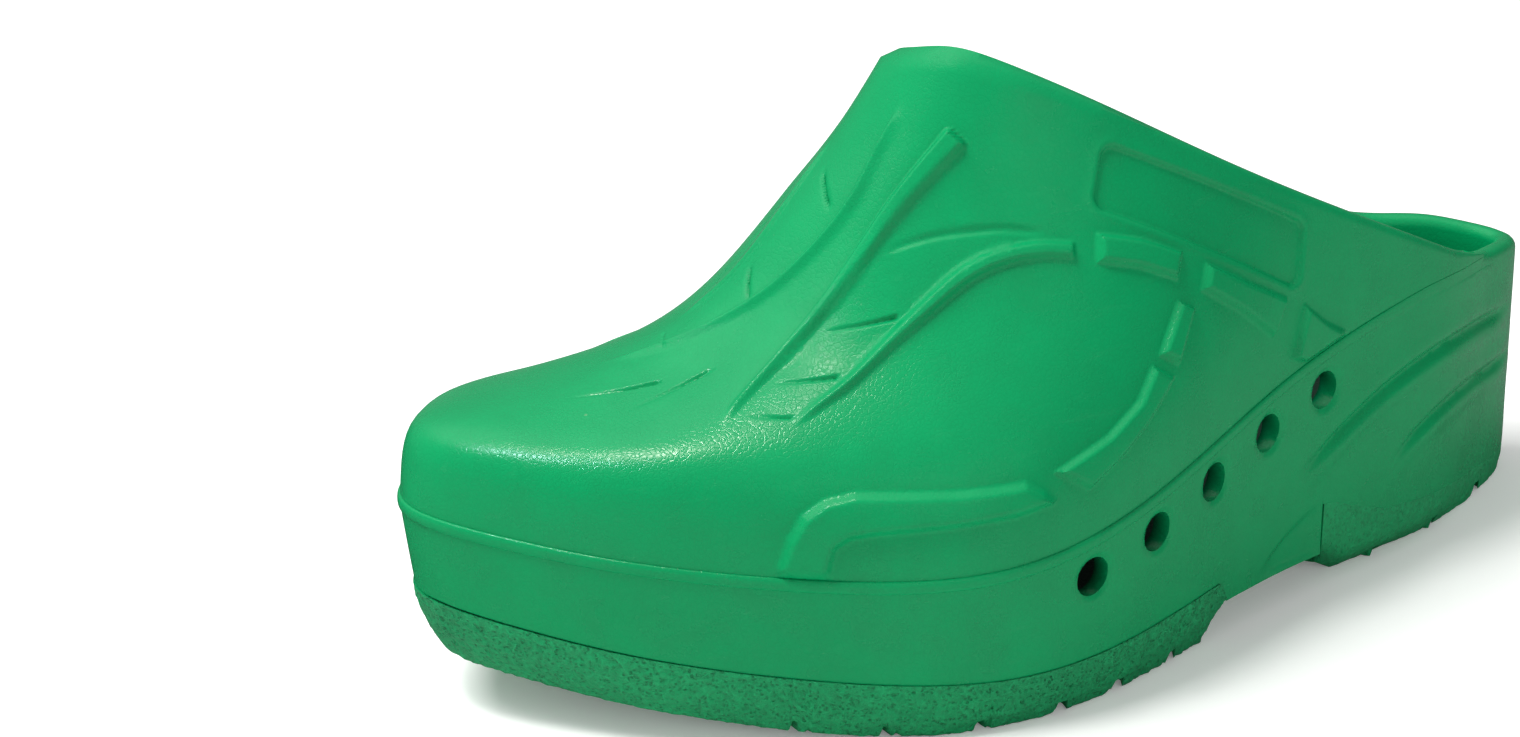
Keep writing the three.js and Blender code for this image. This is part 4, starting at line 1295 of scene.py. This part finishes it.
def textile(name, color, dark, weave):
    """fibrous cloth or foam"""
    material, shader = new_material(name)
    shader.use_object_position()
    fibres = shader.noise(weave, detail=4.0, roughness=.7)
    knit = shader.voronoi(weave * .45)
    broad = shader.noise(30, detail=3.0)
    tone = shader.mix(shader.remap(broad, source=(.3, .7), to=(0.0, 1.0)), color, dark)
    tone = shader.mix(shader.remap(fibres, source=(.3, .7), to=(.5, 0.0)), tone, shade(dark, .6))
    relief = shader.bump(knit, distance=.0003, strength=.8)
    relief = shader.bump(fibres, distance=.0003, strength=.8, normal=relief)
    surface = shader.node("BsdfPrincipled", Base_Color=tone, Roughness=.9, Normal=relief,
                          Specular_IOR_Level=.15)
    shader.node("OutputMaterial", surface.outputs[0])
    return material


# ---- build ---------------------------------------------------------------------------
rubber = moulded("moulded_rubber", color=(.0010, .300, .100), dark=(.0008, .275, .091),
                 roughness=.26)
fore_rubber = pitted("tread_rubber", color=(.0024, .350, .118), dark=(.0020, .300, .102),
                     depth=1.0)
heel_rubber = pitted("heel_tread_rubber", color=(.0022, .330, .110), dark=(.0018, .290, .098),
                     depth=.4)
# the insole and its cover are near black: painted shade for the inside of the shoe seen through the
# vents and the collar
foam = textile("insole_foam", color=(.010, .020, .015), dark=(.007, .014, .011), weave=900)
fabric = textile("insole_fabric", color=(.016, .032, .024), dark=(.010, .022, .016), weave=1500)

make_piece("upper_shell", build_upper(), "clog", rubber, sharp=50)
lower = make_piece("lower_shell", build_lower(), "clog", rubber, sharp=40)
drill_vents(lower)
# marks where the vents get painted shade
paint_vent_shade(lower)
make_piece("forefoot_outsole",
           build_tread(True, FORE_END_X - FORE_TAIL, fore_top, fore_ground, FORE_GROOVES,
                       roughness=1.0),
           "clog", fore_rubber, sharp=55)
make_piece("heel_outsole",
           build_tread(False, HEEL_FRONT_X, z_under, lambda x: lookup(x, HEEL_BREAST),
                       HEEL_GROOVES, roughness=.4),
           "clog", heel_rubber, sharp=55)
make_piece("insole",
           build_sheet(depth=WALL + .9, lift=GAP, height=INSOLE_HEIGHT, dish=0, edge_radius=1.2),
           "footbed", foam, sharp=50)
make_piece("insole_cover",
           build_sheet(depth=WALL + 1.5, lift=2 * GAP + INSOLE_HEIGHT, height=COVER_HEIGHT,
                       dish=.45, edge_radius=.5),
           "footbed", fabric, sharp=50)


# ---- floor, world, lights and camera, in metres --------------------------------------
def add_floor():
    mesh = bpy.data.meshes.new("floor")
    mesh.from_pydata([(-6, -6, 0), (6, -6, 0), (6, 6, 0), (-6, 6, 0)], [], [(0, 1, 2, 3)])
    floor = bpy.data.objects.new("floor", mesh)
    floor.location = (0, 0, -.0002)
    bpy.context.scene.collection.objects.link(floor)
    material, shader = new_material("floor")
    ray = shader.node("LightPath")
    glow = shader.math("MULTIPLY", ray.outputs["Is Camera Ray"], .16)
    white = shader.node("BsdfPrincipled", Base_Color=(.93, .93, .93), Roughness=.9,
                        Specular_IOR_Level=.1, Emission_Color=(1, 1, 1), Emission_Strength=glow)
    # the shoe mirrors less of the floor than the eye sees
    place = shader.node("SeparateXYZ", shader.node("NewGeometry").outputs["Position"])
    grey = shader.remap(place.outputs["X"], source=(-.06, .12), to=(.18, .02))
    dim = shader.node("BsdfDiffuse", Color=grey)
    surface = shader.node("MixShader", ray.outputs["Is Glossy Ray"], white.outputs[0],
                          dim.outputs[0])
    shader.node("OutputMaterial", surface.outputs[0])
    mesh.materials.append(material)


def add_world():
    """white to the eye, a soft fill on the object, dim in reflections"""
    world = bpy.data.worlds.new("studio")
    world.use_nodes = True
    shader = Shader(world.node_tree)
    ray = shader.node("LightPath").outputs
    seen = shader.math("MULTIPLY", ray["Is Camera Ray"], 1.0)
    fill = shader.math("MULTIPLY", ray["Is Diffuse Ray"], .42)
    # mirrored: a wide soft light overhead, a little to the inner side, dim all round
    toward_light = shader.node("VectorMath", shader.node("TexCoord").outputs["Generated"],
                               (.15, -.40, .90), operation="DOT_PRODUCT").outputs["Value"]
    wide = shader.remap(toward_light, source=(.10, .80), to=(.02, .24))
    core = shader.remap(toward_light, source=(.78, .95), to=(0.0, .75))
    mirrored_sky = shader.math("ADD", wide, core)
    mirrored_sky = shader.math("MULTIPLY", ray["Is Glossy Ray"], mirrored_sky)
    total = shader.math("ADD", shader.math("ADD", seen, fill), mirrored_sky)
    background = world.node_tree.nodes["Background"]
    background.inputs[0].default_value = (1, 1, 1, 1)
    shader.put(background.inputs[1], total)
    bpy.context.scene.world = world


def add_light(name, kind, place, target, power, color, hidden, **settings):
    """hidden is the visibility switch that is turned off"""
    light = bpy.data.lights.new(name, kind)
    light.energy, light.color = power, color
    for key, value in settings.items():
        setattr(light, key, value)
    lamp = bpy.data.objects.new(name, light)
    lamp.location = place
    lamp.rotation_euler = (Vector(target) - Vector(place)).to_track_quat("-Z", "Y").to_euler()
    setattr(lamp, hidden, False)
    bpy.context.scene.collection.objects.link(lamp)


def add_panel(name, width, length, place, power, color):
    """rectangular light that lights the shoe but isn't mirrored in it"""
    add_light(name, "AREA", place, (0, 0, .05), power, color, "visible_glossy",
              shape="RECTANGLE", size=width, size_y=length)


def add_glint(name, place, target, power, color):
    """small spot that only shows as a highlight on the toe"""
    add_light(name, "SPOT", place, target, power, color, "visible_diffuse",
              shadow_soft_size=.045, spot_size=math.radians(3.7), spot_blend=1.0)


def add_camera():
    position = (.395711892, .587781545, .314690906)
    yaw, pitch, roll = -2.081902, -.353765, -.024045
    forward = Vector((math.cos(pitch) * math.cos(yaw), math.cos(pitch) * math.sin(yaw),
                      math.sin(pitch)))
    right = Vector((math.sin(yaw), -math.cos(yaw), 0))
    upward = right.cross(forward)
    cosine, sine = math.cos(roll), math.sin(roll)
    rolled_right = right * cosine + upward * sine
    rolled_up = upward * cosine - right * sine
    lens = bpy.data.cameras.new("camera")
    camera = bpy.data.objects.new("camera", lens)
    scene.collection.objects.link(camera)
    pose = Matrix.Identity(4)
    for i in range(3):
        pose[i][:] = rolled_right[i], rolled_up[i], -forward[i], position[i]
    camera.matrix_world = pose
    lens.sensor_fit = "HORIZONTAL"
    lens.sensor_width = 36
    lens.lens = 77.2295127395
    lens.shift_x = -.0015154046053
    lens.shift_y = -.0004241078947
    lens.clip_start, lens.clip_end = .02, 50
    scene.camera = camera


scene = bpy.context.scene
add_floor()
add_world()
add_panel("key", width=.9, length=.9, place=(.72, -.42, 1.45), power=26.3, color=(1, .995, .98))
add_panel("top", width=.3, length=.3, place=(.67, 0, 1.54), power=10, color=(1, .99, .97))
add_glint("cool", place=(.95, .04, 1.44), target=(.132, .013, .064), power=60,
          color=(.68, .88, 1.0))
add_glint("warm", place=(.39, -.05, 1.64), target=(.112, .030, .065), power=46,
          color=(1.0, .95, .88))
add_panel("side", width=1.0, length=.7, place=(.15, 1.8, .8), power=7, color=(1, 1, 1))
scene.view_settings.view_transform = "Standard"
scene.view_settings.look = "None"
scene.view_settings.exposure = 0
scene.view_settings.gamma = 1
add_camera()
